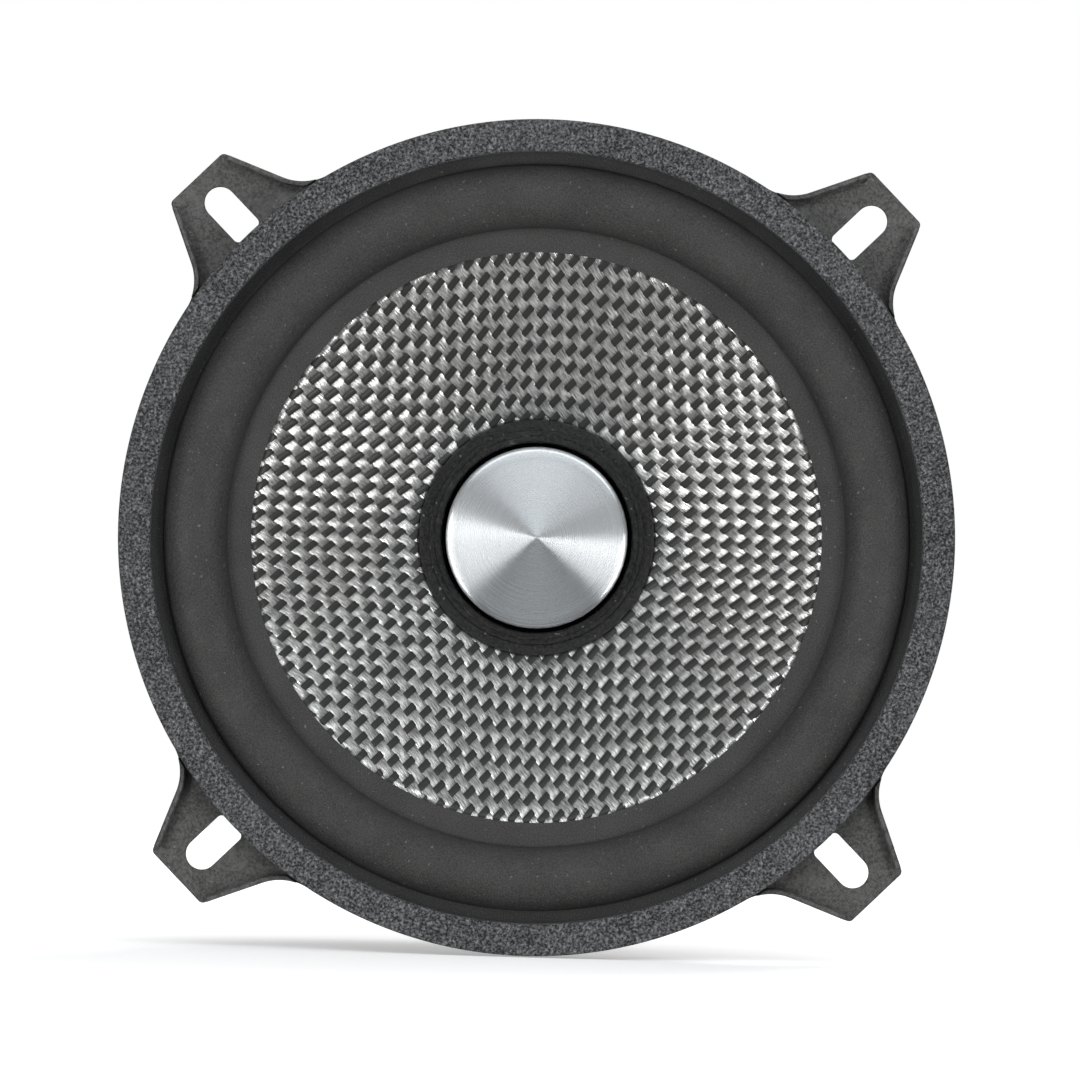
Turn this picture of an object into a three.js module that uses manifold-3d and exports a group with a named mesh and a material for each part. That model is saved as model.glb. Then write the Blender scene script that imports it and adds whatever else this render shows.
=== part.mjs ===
// A round car speaker with a woven cone and a fixed aluminium phase plug, in millimetres.
//
// The pieces are drawn in the speaker's own frame: x to the right, y up, z forward along the axis,
// with the origin on the axis at the flange's rear face. The outer group then stands the speaker
// up, so that forward is -Y and up is +Z.
import * as THREE from "three";
import { mergeVertices } from "three/addons/utils/BufferGeometryUtils.js";
import Module from "manifold-3d";

const wasm = await Module();
wasm.setup();

// ---------------------------------------------------------------- driving dimensions

const touch = 0.3; // gap between pieces that are glued, pressed or screwed together
const wideSteps = 48; // sides of a large round piece
const narrowSteps = 36; // sides of a small round piece, and of the two soft rings
const tinySteps = 12; // sides of a screw or rivet

// Basket: one steel stamping
const frameRadius = 65;
const sheet = 1; // thickness of the steel
const flangeWidth = 7.9; // flange edge to the middle of the skirt's wall
const skirtDepth = 7.5;
const ledgeRadius = 45; // outer corner of the spider's ledge
const ledgeWidth = 5.5;
const ledgeDepth = 26; // flange rear face to the ledge's front face
const seatDrop = 10; // ledge's front face to the magnet seat's rear face
const stepTaper = 0.8; // how much the wall under the ledge draws in
const bendRadius = 1.2;
const seatHolePlay = 3.85; // winding to the hole in the seat
const windowCount = 4;
const windowHalfAngle = THREE.MathUtils.degToRad(28);
const windowMargin = 2; // steel left above and below each window
const windowCorner = 3.5;

// Mounting ears
const earCount = 4;
const earReach = 11.9; // beyond the flange edge
const earTipHalf = 5.58;
const earFlare = THREE.MathUtils.degToRad(24.4);
const earFillet = 8;
const earCorner = 0.9;
const lipThickness = 0.85;
const lipHeight = 2;
const slotWidth = 4.9;
const slotLength = 9.1;
const slotInset = 2.9; // ear tip to the slot's outer end
const slotCorner = 0.9; // at the slot's inner end

// Gasket and surround
const gasketInset = 0.2;
const gasketWidth = 5;
const gasketThickness = 4.5;
const rubber = 0.6;
const surroundGlueWidth = 5.1; // outer flat of the surround, mostly under the gasket
const rollInset = 7.3; // flange edge to the roll's outer foot
const rollWidth = 9.4;
const rollHeight = 4.3;
const surroundInnerWidth = 4;

// Cone and its neck
const coneWall = 0.6;
const coneRimGap = 0.4; // roll's inner foot to the cone's edge
const coneLand = 3.9; // flat rim that the surround is glued to
const coneDepth = 17.2;
const coneNeck = 3;
const collarWidth = 3.5;
const collarThickness = 0.8;
const collarStep = 1.8; // width of the raised inner ring
const collarShelf = 0.6; // flat over the former's end, outside the former
const collarEdge = 0.2;

// Motor
const coilRadius = 15; // inside of the former
const formerWall = 0.35;
const formerTail = 1.3; // former beyond the winding
const formerHead = 0.9; // former ahead of the cone's neck
const windingThickness = 0.7;
const windingLength = 12;
const windingEdge = 0.15;
const windingFit = 0.1; // former to winding
const polePlay = 0.4; // pole to former
const gapPlay = 0.6; // winding to top plate
const topPlateRadius = 38;
const topPlateThickness = 5;
const magnetRadius = 40;
const magnetPlay = 3.15; // bore of the magnet beyond the top plate's
const magnetThickness = 15;
const backPlateRadius = 38;
const backPlateThickness = 5;
const plateEdge = 0.5; // chamfer on the plates
const magnetEdge = 1;
const poleRise = 0.5; // pole tip ahead of the top plate

// Phase plug and its screw
const plugPlay = 0.8; // plug to former
const plugFaceDepth = 9; // flange rear face to the plug's rim
const plugCrown = 1.2;
const plugRim = 0.8;
const plugHoleDepth = 14;
const drillPoint = 1.2; // cone at the end of the hole
const plugScrewRadius = 2.2;
const plugScrewHeadRadius = 4.6;
const plugScrewHeadHeight = 3;
const plugScrewKey = 2.2; // corner radius of the hexagon socket
const plugScrewKeyDepth = 1.8;
const plugScrewBite = 10; // how far the screw runs into the plug

// Spider
const cloth = 0.5;
const spiderWaves = 4;
const spiderWaveHeight = 1.3;
const spiderInnerFlat = 2;
const spiderOuterFlat = 4;

// Screws that hold the top plate
const screwEdge = 0.4; // rounding of a screw's head
const screwCrossWidth = 0.8;
const screwCrossLength = 4;
const plateScrewCount = 4;
const plateScrewInset = 8.7; // from the foot of the basket's wall
const plateScrewRadius = 1.8;
const plateScrewHeadRadius = 3.3;
const plateScrewHeadHeight = 2;
const plateScrewLength = 4.5; // below the head

// Terminals, on one spoke
const terminalAngle = THREE.MathUtils.degToRad(135);
const boardWidth = 25;
const boardHeight = 12;
const boardThickness = 1.6;
const boardCorner = 1.5;
const boardDrop = 1.5; // board centre behind the middle of the wall
const boardStandoff = 1.2;
const bladeSpacing = 15;
const bladeThickness = 0.8;
const bladeWidths = { positive: 6.3, negative: 4.8 };
const bladeAhead = 3.4; // blade beyond its rivet, towards the flange
const bladeBehind = 15; // blade beyond its rivet, towards the magnet
const bladeTaper = 1.6;
const bladeTailWidth = 2.6;
const bladeTailLength = 0.9;
const bladeHole = 0.9; // radius of the hole near the tip
const bladeHoleInset = 3.4;
const rivetRadius = 1;
const rivetHeadRadius = 1.9;
const rivetHeadHeight = 0.6;
const rivetEdge = 0.4;
const rivetFit = 0.1; // rivet head to the face it clamps
const leadSlotWidth = 19;
const leadSlotHeight = 4;
const leadSlotRise = 7.5; // slot centre ahead of the middle of the wall

// Tinsel leads
const leadRadius = 0.5;
const leadSides = 8;
const leadSteps = 30;
const beadRadius = 1.4;
const beadSpacing = 9;
const beadReach = 5.5; // from the middle of the neck's wall

// ---------------------------------------------------------------- derived places

const skirtRadius = frameRadius - flangeWidth;
const ledgeInner = ledgeRadius - ledgeWidth;
const seatRadius = ledgeInner - stepTaper;
const seatDepth = ledgeDepth + seatDrop; // flange rear face to the magnet seat's rear face
const rollOuter = frameRadius - rollInset;
const rollInner = rollOuter - rollWidth;
const surroundMiddle = sheet + touch + rubber / 2;
const gasketRear = sheet + 2 * touch + rubber;
const coneRadius = rollInner - coneRimGap;
const coneLandInner = coneRadius - coneLand;
const coneLandMiddle = sheet - coneWall / 2;
const formerOuter = coilRadius + formerWall;
const neckMiddle = formerOuter + touch + coneWall / 2;
const neckFront = coneLandMiddle - coneDepth;
const coneSlope = coneDepth / (coneLandInner - neckMiddle);
const coneAngle = Math.atan(coneSlope);
const topPlateFront = -seatDepth - touch;
const magnetFront = topPlateFront - topPlateThickness - touch;
const backPlateFront = magnetFront - magnetThickness - touch;
const backPlateRear = backPlateFront - backPlateThickness;
const windingInner = formerOuter + windingFit;
const windingOuter = windingInner + windingThickness;
const windingMiddle = topPlateFront - topPlateThickness / 2;
const topPlateBore = windingOuter + gapPlay;
const seatHoleRadius = windingOuter + seatHolePlay;
const magnetBore = topPlateBore + magnetPlay;
const plateScrewCircle = seatRadius - plateScrewInset;
const poleRadius = coilRadius - polePlay;
const poleTip = topPlateFront + poleRise;
const plugRadius = coilRadius - plugPlay;
const plugRear = poleTip + touch;
const screwHoleRadius = plugScrewRadius + touch;
const screwSeat = backPlateRear + plugScrewHeadHeight + touch;
const formerFront = neckFront + formerHead;
const formerRear = windingMiddle - windingLength / 2 - formerTail;
const collarOuterRadius = coilRadius + collarWidth;
const beadCircle = neckMiddle + beadReach;
const spiderMiddle = -ledgeDepth + touch + cloth / 2;

// The conical wall between skirt and ledge, which carries the windows and the terminals.
const wallTop = new THREE.Vector2(skirtRadius, -skirtDepth);
const wallFoot = new THREE.Vector2(ledgeRadius, -ledgeDepth - sheet / 2);
const wallCentre = wallTop.clone().add(wallFoot).multiplyScalar(0.5);
const wallForward = wallTop.clone().sub(wallFoot).normalize();
const wallOutward = new THREE.Vector2(wallForward.y, -wallForward.x);

// Height of the cone's middle surface at a radius.
function coneHeight(radius) {
  return coneLandMiddle - (coneLandInner - radius) * coneSlope;
}

// ---------------------------------------------------------------- outlines and solids

function point(x, y) {
  return new THREE.Vector2(x, y);
}

// Points along an arc, both ends included.
function arc(centre, radius, from, to, steps) {
  return Array.from({ length: steps + 1 }, (_, i) => {
    const angle = from + ((to - from) * i) / steps;
    return point(centre.x + radius * Math.cos(angle), centre.y + radius * Math.sin(angle));
  });
}

// A line through the corners, each one rounded to its own radius.
function roundedLine(corners, steps = 4) {
  return corners.flatMap(([x, y, radius], i) => {
    const corner = point(x, y);
    if (!radius) return [corner];
    const before = point(...corners[i - 1]).sub(corner).normalize();
    const after = point(...corners[i + 1]).sub(corner).normalize();
    const half = Math.acos(before.dot(after)) / 2;
    const centre = before.clone().add(after).normalize();
    centre.multiplyScalar(radius / Math.sin(half)).add(corner);
    const start = before.multiplyScalar(radius / Math.tan(half)).add(corner).sub(centre);
    const end = after.multiplyScalar(radius / Math.tan(half)).add(corner).sub(centre);
    const turn = Math.atan2(start.cross(end), start.dot(end));
    return arc(centre, radius, start.angle(), start.angle() + turn, steps);
  });
}

// The line moved sideways by a distance, with mitred corners.
function besides(line, distance) {
  return line.map((p, i) => {
    const before = p.clone().sub(line[Math.max(i - 1, 0)]);
    const after = line[Math.min(i + 1, line.length - 1)].clone().sub(p);
    const first = (before.length() ? before : after).clone().normalize();
    const second = (after.length() ? after : before).clone().normalize();
    const mitre = point(-first.y - second.y, first.x + second.x).normalize();
    const reach = distance / (mitre.x * -first.y + mitre.y * first.x);
    return p.clone().addScaledVector(mitre, reach);
  });
}

// The section of a sheet of even thickness whose middle follows a line.
function sheetSection(line, thickness) {
  return [...besides(line, thickness / 2), ...besides(line, -thickness / 2).reverse()];
}

// A rectangle with chamfered corners, between two radii and two heights.
function ringSection(inner, outer, rear, front, edge) {
  return [
    point(inner + edge, rear),
    point(outer - edge, rear),
    point(outer, rear + edge),
    point(outer, front - edge),
    point(outer - edge, front),
    point(inner + edge, front),
    point(inner, front - edge),
    point(inner, rear + edge),
  ];
}

// A section turned about the z axis. A section that starts on the axis also ends there.
function turned(section, steps = wideSteps) {
  const profile = [...section];
  const onAxis = profile[0].x === 0;
  if (!onAxis) profile.push(profile[0].clone());
  if (THREE.ShapeUtils.area(section) < 0) profile.reverse();
  return new THREE.LatheGeometry(profile, steps).rotateX(Math.PI / 2);
}

// A flat outline, with holes, raised along z between two heights.
function raised(outline, holes, rear, front) {
  const shape = new THREE.Shape(outline);
  shape.holes = holes.map((hole) => new THREE.Path(hole));
  const options = { depth: front - rear, bevelEnabled: false, steps: 1 };
  return new THREE.ExtrudeGeometry(shape, options).translate(0, 0, rear);
}

// A round bar along z.
function bar(radius, rear, front, steps = tinySteps) {
  const rod = new THREE.CylinderGeometry(radius, radius, front - rear, steps);
  return rod.rotateX(Math.PI / 2).translate(0, 0, (front + rear) / 2);
}

function solid(geometry) {
  const bare = geometry.clone();
  bare.deleteAttribute("normal");
  bare.deleteAttribute("uv");
  const merged = mergeVertices(bare, 1e-4);
  const vertProperties = merged.attributes.position.array;
  const triVerts = new Uint32Array(merged.index.array);
  return new wasm.Manifold(new wasm.Mesh({ numProp: 3, vertProperties, triVerts }));
}

function geometry(body) {
  const { vertProperties, triVerts } = body.getMesh();
  const made = new THREE.BufferGeometry();
  made.setAttribute("position", new THREE.BufferAttribute(new Float32Array(vertProperties), 3));
  made.setIndex(new THREE.BufferAttribute(new Uint32Array(triVerts), 1));
  made.computeVertexNormals();
  return made;
}

// The first shape with the others cut out of it.
function cut(from, ...tools) {
  return geometry(tools.reduce((body, tool) => body.subtract(solid(tool)), solid(from)));
}

// A rectangle's outline with round corners.
function rounded(width, height, radius, steps = 4) {
  const x = width / 2 - radius;
  const y = height / 2 - radius;
  const quarter = Math.PI / 2;
  return [
    ...arc(point(x, y), radius, 0, quarter, steps),
    ...arc(point(-x, y), radius, quarter, 2 * quarter, steps),
    ...arc(point(-x, -y), radius, 2 * quarter, 3 * quarter, steps),
    ...arc(point(x, -y), radius, 3 * quarter, 4 * quarter, steps),
  ];
}

function turnedOutline(outline, angle) {
  return outline.map((p) => p.clone().rotateAround(point(0, 0), angle));
}

// Evenly spaced angles, the first one half a step round.
function spread(count) {
  return Array.from({ length: count }, (_, i) => ((i + 0.5) * 2 * Math.PI) / count);
}

// ---------------------------------------------------------------- basket

// Where an ear's straight side meets its root fillet. The fillet touches that side and the
// flange's edge, so its centre is at a known distance from both.
const earTip = frameRadius + earReach;
const earNormal = point(Math.sin(earFlare), Math.cos(earFlare));
const earSideDistance = earTip * earNormal.x + earTipHalf * earNormal.y;
const filletCentre = earNormal.clone().multiplyScalar(earSideDistance + earFillet);
const filletAlong = Math.sqrt((frameRadius + earFillet) ** 2 - filletCentre.lengthSq());
filletCentre.addScaledVector(point(earNormal.y, -earNormal.x), filletAlong);
const filletStart = earNormal.angle() - Math.PI;
const filletEnd = filletCentre.angle() - Math.PI;

// A point on the line that lies at a distance along the ear's side normal.
function onSideLine(x, distance) {
  return point(x, (distance - x * earNormal.x) / earNormal.y);
}

function earRoot() {
  return arc(filletCentre, earFillet, filletStart, filletEnd, 6);
}

// One side of an ear lying along +x, from its tip to the flange's edge.
function earSide() {
  const corner = onSideLine(earTip - earCorner, earSideDistance - earCorner);
  return [...arc(corner, earCorner, 0, earNormal.angle(), 2), ...earRoot()];
}

function mirroredOutline(outline) {
  return outline.map((p) => point(p.x, -p.y)).reverse();
}

function flangeOutline() {
  const rootAngle = filletCentre.angle();
  const ringSweep = (2 * Math.PI) / earCount - 2 * rootAngle;
  return spread(earCount).flatMap((angle) => [
    ...turnedOutline([...mirroredOutline(earSide()), ...earSide()], angle),
    ...arc(point(0, 0), frameRadius, angle + rootAngle, angle + rootAngle + ringSweep, 12).slice(1, -1),
  ]);
}

// A slot's outline, with round ends and its length along x.
function obround(length, width) {
  const radius = width / 2;
  const x = length / 2 - radius;
  const quarter = Math.PI / 2;
  return [
    ...arc(point(x, 0), radius, -quarter, quarter, 8),
    ...arc(point(-x, 0), radius, quarter, 3 * quarter, 8),
  ];
}

// An ear's slot: round at its outer end, flat with round corners at its inner end.
function earSlot(angle) {
  const half = slotWidth / 2;
  const quarter = Math.PI / 2;
  const outerCentre = earTip - slotInset - half;
  const cornerX = earTip - slotInset - slotLength + slotCorner;
  const cornerY = half - slotCorner;
  const slot = [
    ...arc(point(outerCentre, 0), half, -quarter, quarter, 8),
    ...arc(point(cornerX, cornerY), slotCorner, quarter, 2 * quarter, 3),
    ...arc(point(cornerX, -cornerY), slotCorner, 2 * quarter, 3 * quarter, 3),
  ];
  return turnedOutline(slot, angle).reverse();
}

// The turned-up lip along one side of an ear.
function earLip(angle, mirrored) {
  const outer = [onSideLine(earTip - earCorner, earSideDistance), ...earRoot()];
  const band = [...outer, ...besides(outer, lipThickness).reverse()];
  return turnedOutline(mirrored ? mirroredOutline(band) : band, angle);
}

function basketSection() {
  const plateOverlap = frameRadius - flangeWidth + 4;
  const corners = [
    [plateOverlap, sheet / 2, 0],
    [skirtRadius, sheet / 2, bendRadius],
    [wallTop.x, wallTop.y, 2 * bendRadius],
    [wallFoot.x, wallFoot.y, bendRadius],
    [ledgeInner, wallFoot.y, bendRadius],
    [seatRadius, sheet / 2 - seatDepth, bendRadius],
    [seatHoleRadius, sheet / 2 - seatDepth, 0],
  ];
  return sheetSection(roundedLine(corners, 2), sheet);
}

// The tool for one window: a trapezium with round corners, pushed out through the wall.
function windowTool(angle) {
  const top = wallTop.y - windowMargin;
  const bottom = wallFoot.y + windowMargin;
  const radiusAt = (height) => wallFoot.x + ((height - wallFoot.y) * wallForward.x) / wallForward.y;
  const halfTop = radiusAt(top) * Math.sin(windowHalfAngle);
  const halfBottom = radiusAt(bottom) * Math.sin(windowHalfAngle);
  const corners = [
    [0, bottom, 0],
    [halfBottom, bottom, windowCorner],
    [halfTop, top, windowCorner],
    [-halfTop, top, windowCorner],
    [-halfBottom, bottom, windowCorner],
    [0, bottom, 0],
  ];
  const outline = roundedLine(corners, 5).slice(0, -1);
  const inside = seatHoleRadius + touch;
  const tool = raised(outline, [], inside, frameRadius);
  return tool.rotateX(Math.PI / 2).rotateZ(angle + Math.PI / 2);
}

// From the frame of the terminals' wall to the speaker's frame: across, forward, outward.
function wallFrame() {
  const across = new THREE.Vector3(0, 1, 0);
  const forward = new THREE.Vector3(wallForward.x, 0, wallForward.y);
  const outward = new THREE.Vector3(wallOutward.x, 0, wallOutward.y);
  const frame = new THREE.Matrix4().makeBasis(across, forward, outward);
  frame.setPosition(wallCentre.x, 0, wallCentre.y);
  return frame.premultiply(new THREE.Matrix4().makeRotationZ(terminalAngle));
}

function makeBasket() {
  const holeForShell = arc(point(0, 0), skirtRadius + 2, 2 * Math.PI, 0, wideSteps).slice(1);
  const slots = spread(earCount).map(earSlot);
  let body = solid(raised(flangeOutline(), [holeForShell, ...slots], 0, sheet));
  let lips = null;
  for (const angle of spread(earCount)) {
    for (const mirrored of [false, true]) {
      const lip = solid(raised(earLip(angle, mirrored), [], 0, sheet + lipHeight));
      lips = lips ? lips.add(lip) : lip;
    }
  }
  lips = lips.subtract(solid(bar(frameRadius + touch, sheet, sheet + 2 * lipHeight, wideSteps)));
  body = body.add(lips).add(solid(turned(basketSection())));
  for (const angle of spread(windowCount)) {
    body = body.subtract(solid(windowTool(angle - Math.PI / windowCount)));
  }
  const slot = obround(leadSlotWidth, leadSlotHeight).map((p) => point(p.x, p.y + leadSlotRise));
  const wall = 4 * sheet;
  const slotTool = raised(slot, [], -wall, wall).applyMatrix4(wallFrame());
  const rivetTool = bar(rivetRadius + touch, -wall, wall).translate(0, -boardDrop, 0);
  body = body.subtract(solid(slotTool)).subtract(solid(rivetTool.applyMatrix4(wallFrame())));
  for (const place of plateScrewPlaces()) {
    const tool = bar(plateScrewRadius + touch, -seatDepth - sheet, -seatDepth + 2 * sheet);
    body = body.subtract(solid(tool.translate(place.x, place.y, 0)));
  }
  return geometry(body);
}

// ---------------------------------------------------------------- gasket, surround, cone

function makeGasket() {
  const outer = frameRadius - gasketInset;
  return turned([
    point(outer - gasketWidth, gasketRear),
    point(outer, gasketRear),
    point(outer, gasketRear + gasketThickness),
    point(outer - gasketWidth, gasketRear + gasketThickness),
  ]);
}

function makeSurround() {
  const crown = (angle) =>
    point(
      (rollOuter + rollInner) / 2 + (rollWidth / 2) * Math.cos(angle),
      surroundMiddle + rollHeight * Math.sin(angle),
    );
  const roll = Array.from({ length: 9 }, (_, i) => crown((Math.PI * i) / 8));
  const line = [
    point(rollOuter + surroundGlueWidth, surroundMiddle),
    ...roll,
    point(rollInner - surroundInnerWidth, surroundMiddle),
  ];
  return turned(sheetSection(line, rubber), narrowSteps);
}

function makeCone() {
  const corners = [
    [coneRadius, coneLandMiddle, 0],
    [coneLandInner, coneLandMiddle, 2],
    [neckMiddle, neckFront, 1],
    [neckMiddle, neckFront - coneNeck, 0],
  ];
  return turned(sheetSection(roundedLine(corners, 2), coneWall));
}

// A moulded ring that covers the joint of cone and former, stepped on its front.
function makeCollar() {
  const clear = (coneWall / 2 + touch) / Math.cos(coneAngle);
  const rearAt = (radius) => coneHeight(radius) + clear;
  const shelfRadius = formerOuter + collarShelf;
  const stepRadius = coilRadius + collarStep;
  const shelf = Math.max(formerFront + touch, rearAt(shelfRadius));
  const front = shelf + collarThickness + collarEdge;
  const section = [
    point(coilRadius, shelf),
    point(shelfRadius, shelf),
    point(collarOuterRadius, rearAt(collarOuterRadius)),
    point(collarOuterRadius, rearAt(collarOuterRadius) + collarThickness / 2),
    point(stepRadius, rearAt(stepRadius) + collarThickness),
    point(stepRadius - collarEdge, front),
    point(coilRadius + collarEdge, front),
    point(coilRadius, front - collarEdge),
  ];
  return turned(section, narrowSteps);
}

// ---------------------------------------------------------------- voice coil and spider

function makeFormer() {
  return turned(ringSection(coilRadius, formerOuter, formerRear, formerFront, 0), narrowSteps);
}

function makeWinding() {
  const rear = windingMiddle - windingLength / 2;
  const section = ringSection(windingInner, windingOuter, rear, rear + windingLength, windingEdge);
  return turned(section, narrowSteps);
}

// A cloth disc with corrugations between its two flats.
function makeSpider() {
  const outer = ledgeRadius - sheet / 2 - touch - bendRadius;
  const inner = formerOuter + touch;
  const waveOuter = outer - spiderOuterFlat;
  const waveInner = inner + spiderInnerFlat;
  const crests = Array.from({ length: 2 * spiderWaves }, (_, i) => {
    const share = (i + 0.5) / (2 * spiderWaves);
    const height = i % 2 ? -spiderWaveHeight : spiderWaveHeight;
    return point(waveOuter + (waveInner - waveOuter) * share, spiderMiddle + height);
  });
  const line = [
    point(outer, spiderMiddle),
    point(waveOuter, spiderMiddle),
    ...crests,
    point(waveInner, spiderMiddle),
    point(inner, spiderMiddle),
  ];
  return turned(sheetSection(line, cloth), narrowSteps);
}

// ---------------------------------------------------------------- motor

function plateScrewPlaces() {
  return spread(plateScrewCount).map((angle) =>
    point(plateScrewCircle, 0).rotateAround(point(0, 0), angle - Math.PI / plateScrewCount),
  );
}

function makeTopPlate() {
  const rear = topPlateFront - topPlateThickness;
  const plate = turned(ringSection(topPlateBore, topPlateRadius, rear, topPlateFront, plateEdge));
  const holes = plateScrewPlaces().map((place) =>
    bar(plateScrewRadius + touch, rear - 1, topPlateFront + 1).translate(place.x, place.y, 0),
  );
  return cut(plate, ...holes);
}

function makeMagnet() {
  const rear = magnetFront - magnetThickness;
  return turned(ringSection(magnetBore, magnetRadius, rear, magnetFront, magnetEdge));
}

// Back plate and pole in one forging, bored and counterbored for the plug's screw.
function makeYoke() {
  const counterbore = plugScrewHeadRadius + touch;
  return turned([
    point(screwHoleRadius, screwSeat),
    point(counterbore, screwSeat),
    point(counterbore, backPlateRear),
    point(backPlateRadius - plateEdge, backPlateRear),
    point(backPlateRadius, backPlateRear + plateEdge),
    point(backPlateRadius, backPlateFront - plateEdge),
    point(backPlateRadius - plateEdge, backPlateFront),
    point(poleRadius, backPlateFront),
    point(poleRadius, poleTip - plateEdge),
    point(poleRadius - plateEdge, poleTip),
    point(screwHoleRadius, poleTip),
  ]);
}

function makePlug() {
  const rim = -plugFaceDepth;
  const rounding = arc(point(plugRadius - plugRim, rim - plugRim), plugRim, 0, Math.PI / 2, 4);
  return turned(
    [
      point(0, plugRear + plugHoleDepth),
      point(screwHoleRadius, plugRear + plugHoleDepth - drillPoint),
      point(screwHoleRadius, plugRear),
      point(plugRadius, plugRear),
      ...rounding,
      point(0, rim + plugCrown),
    ],
    narrowSteps,
  );
}

// A screw along z with a round head, its shank running forward from the head's seat.
function screwSection(radius, length, headRadius, headHeight) {
  const tip = radius / 2;
  return [
    point(0, -headHeight),
    point(headRadius - screwEdge, -headHeight),
    point(headRadius, screwEdge - headHeight),
    point(headRadius, 0),
    point(radius, 0),
    point(radius, length - tip),
    point(radius - tip, length),
    point(0, length),
  ];
}

function makePlugScrew() {
  const length = plugRear + plugScrewBite - screwSeat;
  const section = screwSection(plugScrewRadius, length, plugScrewHeadRadius, plugScrewHeadHeight);
  const screw = turned(section, 2 * tinySteps);
  const key = bar(plugScrewKey, -2 * plugScrewHeadHeight, plugScrewKeyDepth - plugScrewHeadHeight, 6);
  return cut(screw, key);
}

function makePlateScrew() {
  const section = screwSection(
    plateScrewRadius,
    plateScrewLength,
    plateScrewHeadRadius,
    plateScrewHeadHeight,
  );
  const screw = turned(section, tinySteps);
  const wide = new THREE.BoxGeometry(screwCrossLength, screwCrossWidth, plateScrewHeadHeight);
  const tall = new THREE.BoxGeometry(screwCrossWidth, screwCrossLength, plateScrewHeadHeight);
  const middle = -plateScrewHeadHeight;
  return cut(screw, wide.translate(0, 0, middle), tall.translate(0, 0, middle));
}

// ---------------------------------------------------------------- terminals, in the wall's frame

const boardRear = sheet / 2 + boardStandoff;
const boardFront = boardRear + boardThickness;
const bladeRear = boardFront + touch;
const bladeFront = bladeRear + bladeThickness;
const bladeSides = { positive: 1, negative: -1 };

function makeBoard() {
  const outline = rounded(boardWidth, boardHeight, boardCorner);
  const board = raised(outline, [], boardRear, boardFront);
  const holes = [-bladeSpacing / 2, 0, bladeSpacing / 2].map((x) =>
    bar(rivetRadius + touch, boardRear - 1, boardFront + 1).translate(x, 0, 0),
  );
  return cut(board, ...holes).translate(0, -boardDrop, 0);
}

// A flat blade with a tapered tip, a hole near the tip and a narrow tail for the lead.
function makeBlade(width) {
  const half = width / 2;
  const tail = bladeTailWidth / 2;
  const shoulder = bladeAhead - bladeTailLength;
  const outline = [
    point(-half, bladeTaper - bladeBehind),
    point(bladeTaper / 2 - half, -bladeBehind),
    point(half - bladeTaper / 2, -bladeBehind),
    point(half, bladeTaper - bladeBehind),
    point(half, shoulder - bladeTaper / 2),
    point(tail, shoulder),
    point(tail, bladeAhead),
    point(-tail, bladeAhead),
    point(-tail, shoulder),
    point(-half, shoulder - bladeTaper / 2),
  ];
  const tipMiddle = point(0, bladeHoleInset - bladeBehind);
  const tipHole = arc(tipMiddle, bladeHole, 2 * Math.PI, 0, tinySteps).slice(1);
  const rivetHole = arc(point(0, 0), rivetRadius + touch, 2 * Math.PI, 0, tinySteps).slice(1);
  return raised(outline, [tipHole, rivetHole], bladeRear, bladeFront);
}

// A rivet along z through the stack between two heights.
function makeRivet(rear, front) {
  const top = rivetHeadRadius - rivetEdge;
  const section = [
    point(0, rear - rivetHeadHeight),
    point(top, rear - rivetHeadHeight),
    point(rivetHeadRadius, rear - rivetFit),
    point(rivetRadius, rear - rivetFit),
    point(rivetRadius, front + rivetFit),
    point(rivetHeadRadius, front + rivetFit),
    point(top, front + rivetHeadHeight),
    point(0, front + rivetHeadHeight),
  ];
  return turned(section, tinySteps);
}

// ---------------------------------------------------------------- leads

// Where a lead is joined to the coil's wire, on the back of the cone near its neck.
function beadPlace(side) {
  const away = coneWall / 2 + touch + beadRadius;
  const radius = beadCircle + away * Math.sin(coneAngle);
  const height = coneHeight(beadCircle) - away * Math.cos(coneAngle);
  return new THREE.Vector3(radius, (side * beadSpacing) / 2, height);
}

// From the blade's tail over the board, in through the slot, and in a slack bow to the bead.
// The first points are in the wall's frame, the others are radius, side and height.
function leadPath(side) {
  const across = (side * bladeSpacing) / 2;
  const above = bladeFront + touch + leadRadius;
  const tail = bladeAhead - boardDrop;
  const outside = [
    [across, tail - 1.6, above],
    [across, tail + 0.6, above + 0.2],
    [across * 0.98, leadSlotRise - 1.8, above - 0.2],
    [across * 0.93, leadSlotRise - 0.3, above - 2],
    [across * 0.88, leadSlotRise, 0.6],
    [across * 0.84, leadSlotRise - 0.2, -1.6],
  ];
  const frame = wallFrame();
  const start = outside.map((p) => new THREE.Vector3(...p).applyMatrix4(frame));
  const bead = beadPlace(side);
  const entry = wallCentre.clone().addScaledVector(wallForward, leadSlotRise);
  entry.addScaledVector(wallOutward, -1.6);
  const bow = [0.18, 0.4, 0.62, 0.82].map((share) => {
    const sag = 4.5 * Math.sin(Math.PI * share);
    return new THREE.Vector3(
      THREE.MathUtils.lerp(entry.x, bead.x, share),
      THREE.MathUtils.lerp(across * 0.84, bead.y, share),
      THREE.MathUtils.lerp(entry.y, bead.z, share) - sag,
    );
  });
  const end = bead.clone();
  end.x += beadRadius + touch + 0.1;
  end.z -= 0.3;
  const turn = new THREE.Vector3(0, 0, 1);
  const rest = [...bow, end].map((p) => p.applyAxisAngle(turn, terminalAngle));
  return new THREE.CatmullRomCurve3([...start, ...rest], false, "centripetal");
}

function makeLead(side) {
  const section = arc(point(0, 0), leadRadius, 0, 2 * Math.PI, leadSides).slice(1);
  return new THREE.ExtrudeGeometry(new THREE.Shape(section), {
    steps: leadSteps,
    bevelEnabled: false,
    extrudePath: leadPath(side),
  });
}

function makeBead() {
  return new THREE.SphereGeometry(beadRadius, 10, 6);
}

// ---------------------------------------------------------------- finishes

function finish(color, roughness, metalness) {
  return new THREE.MeshStandardMaterial({ color, roughness, metalness });
}

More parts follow.
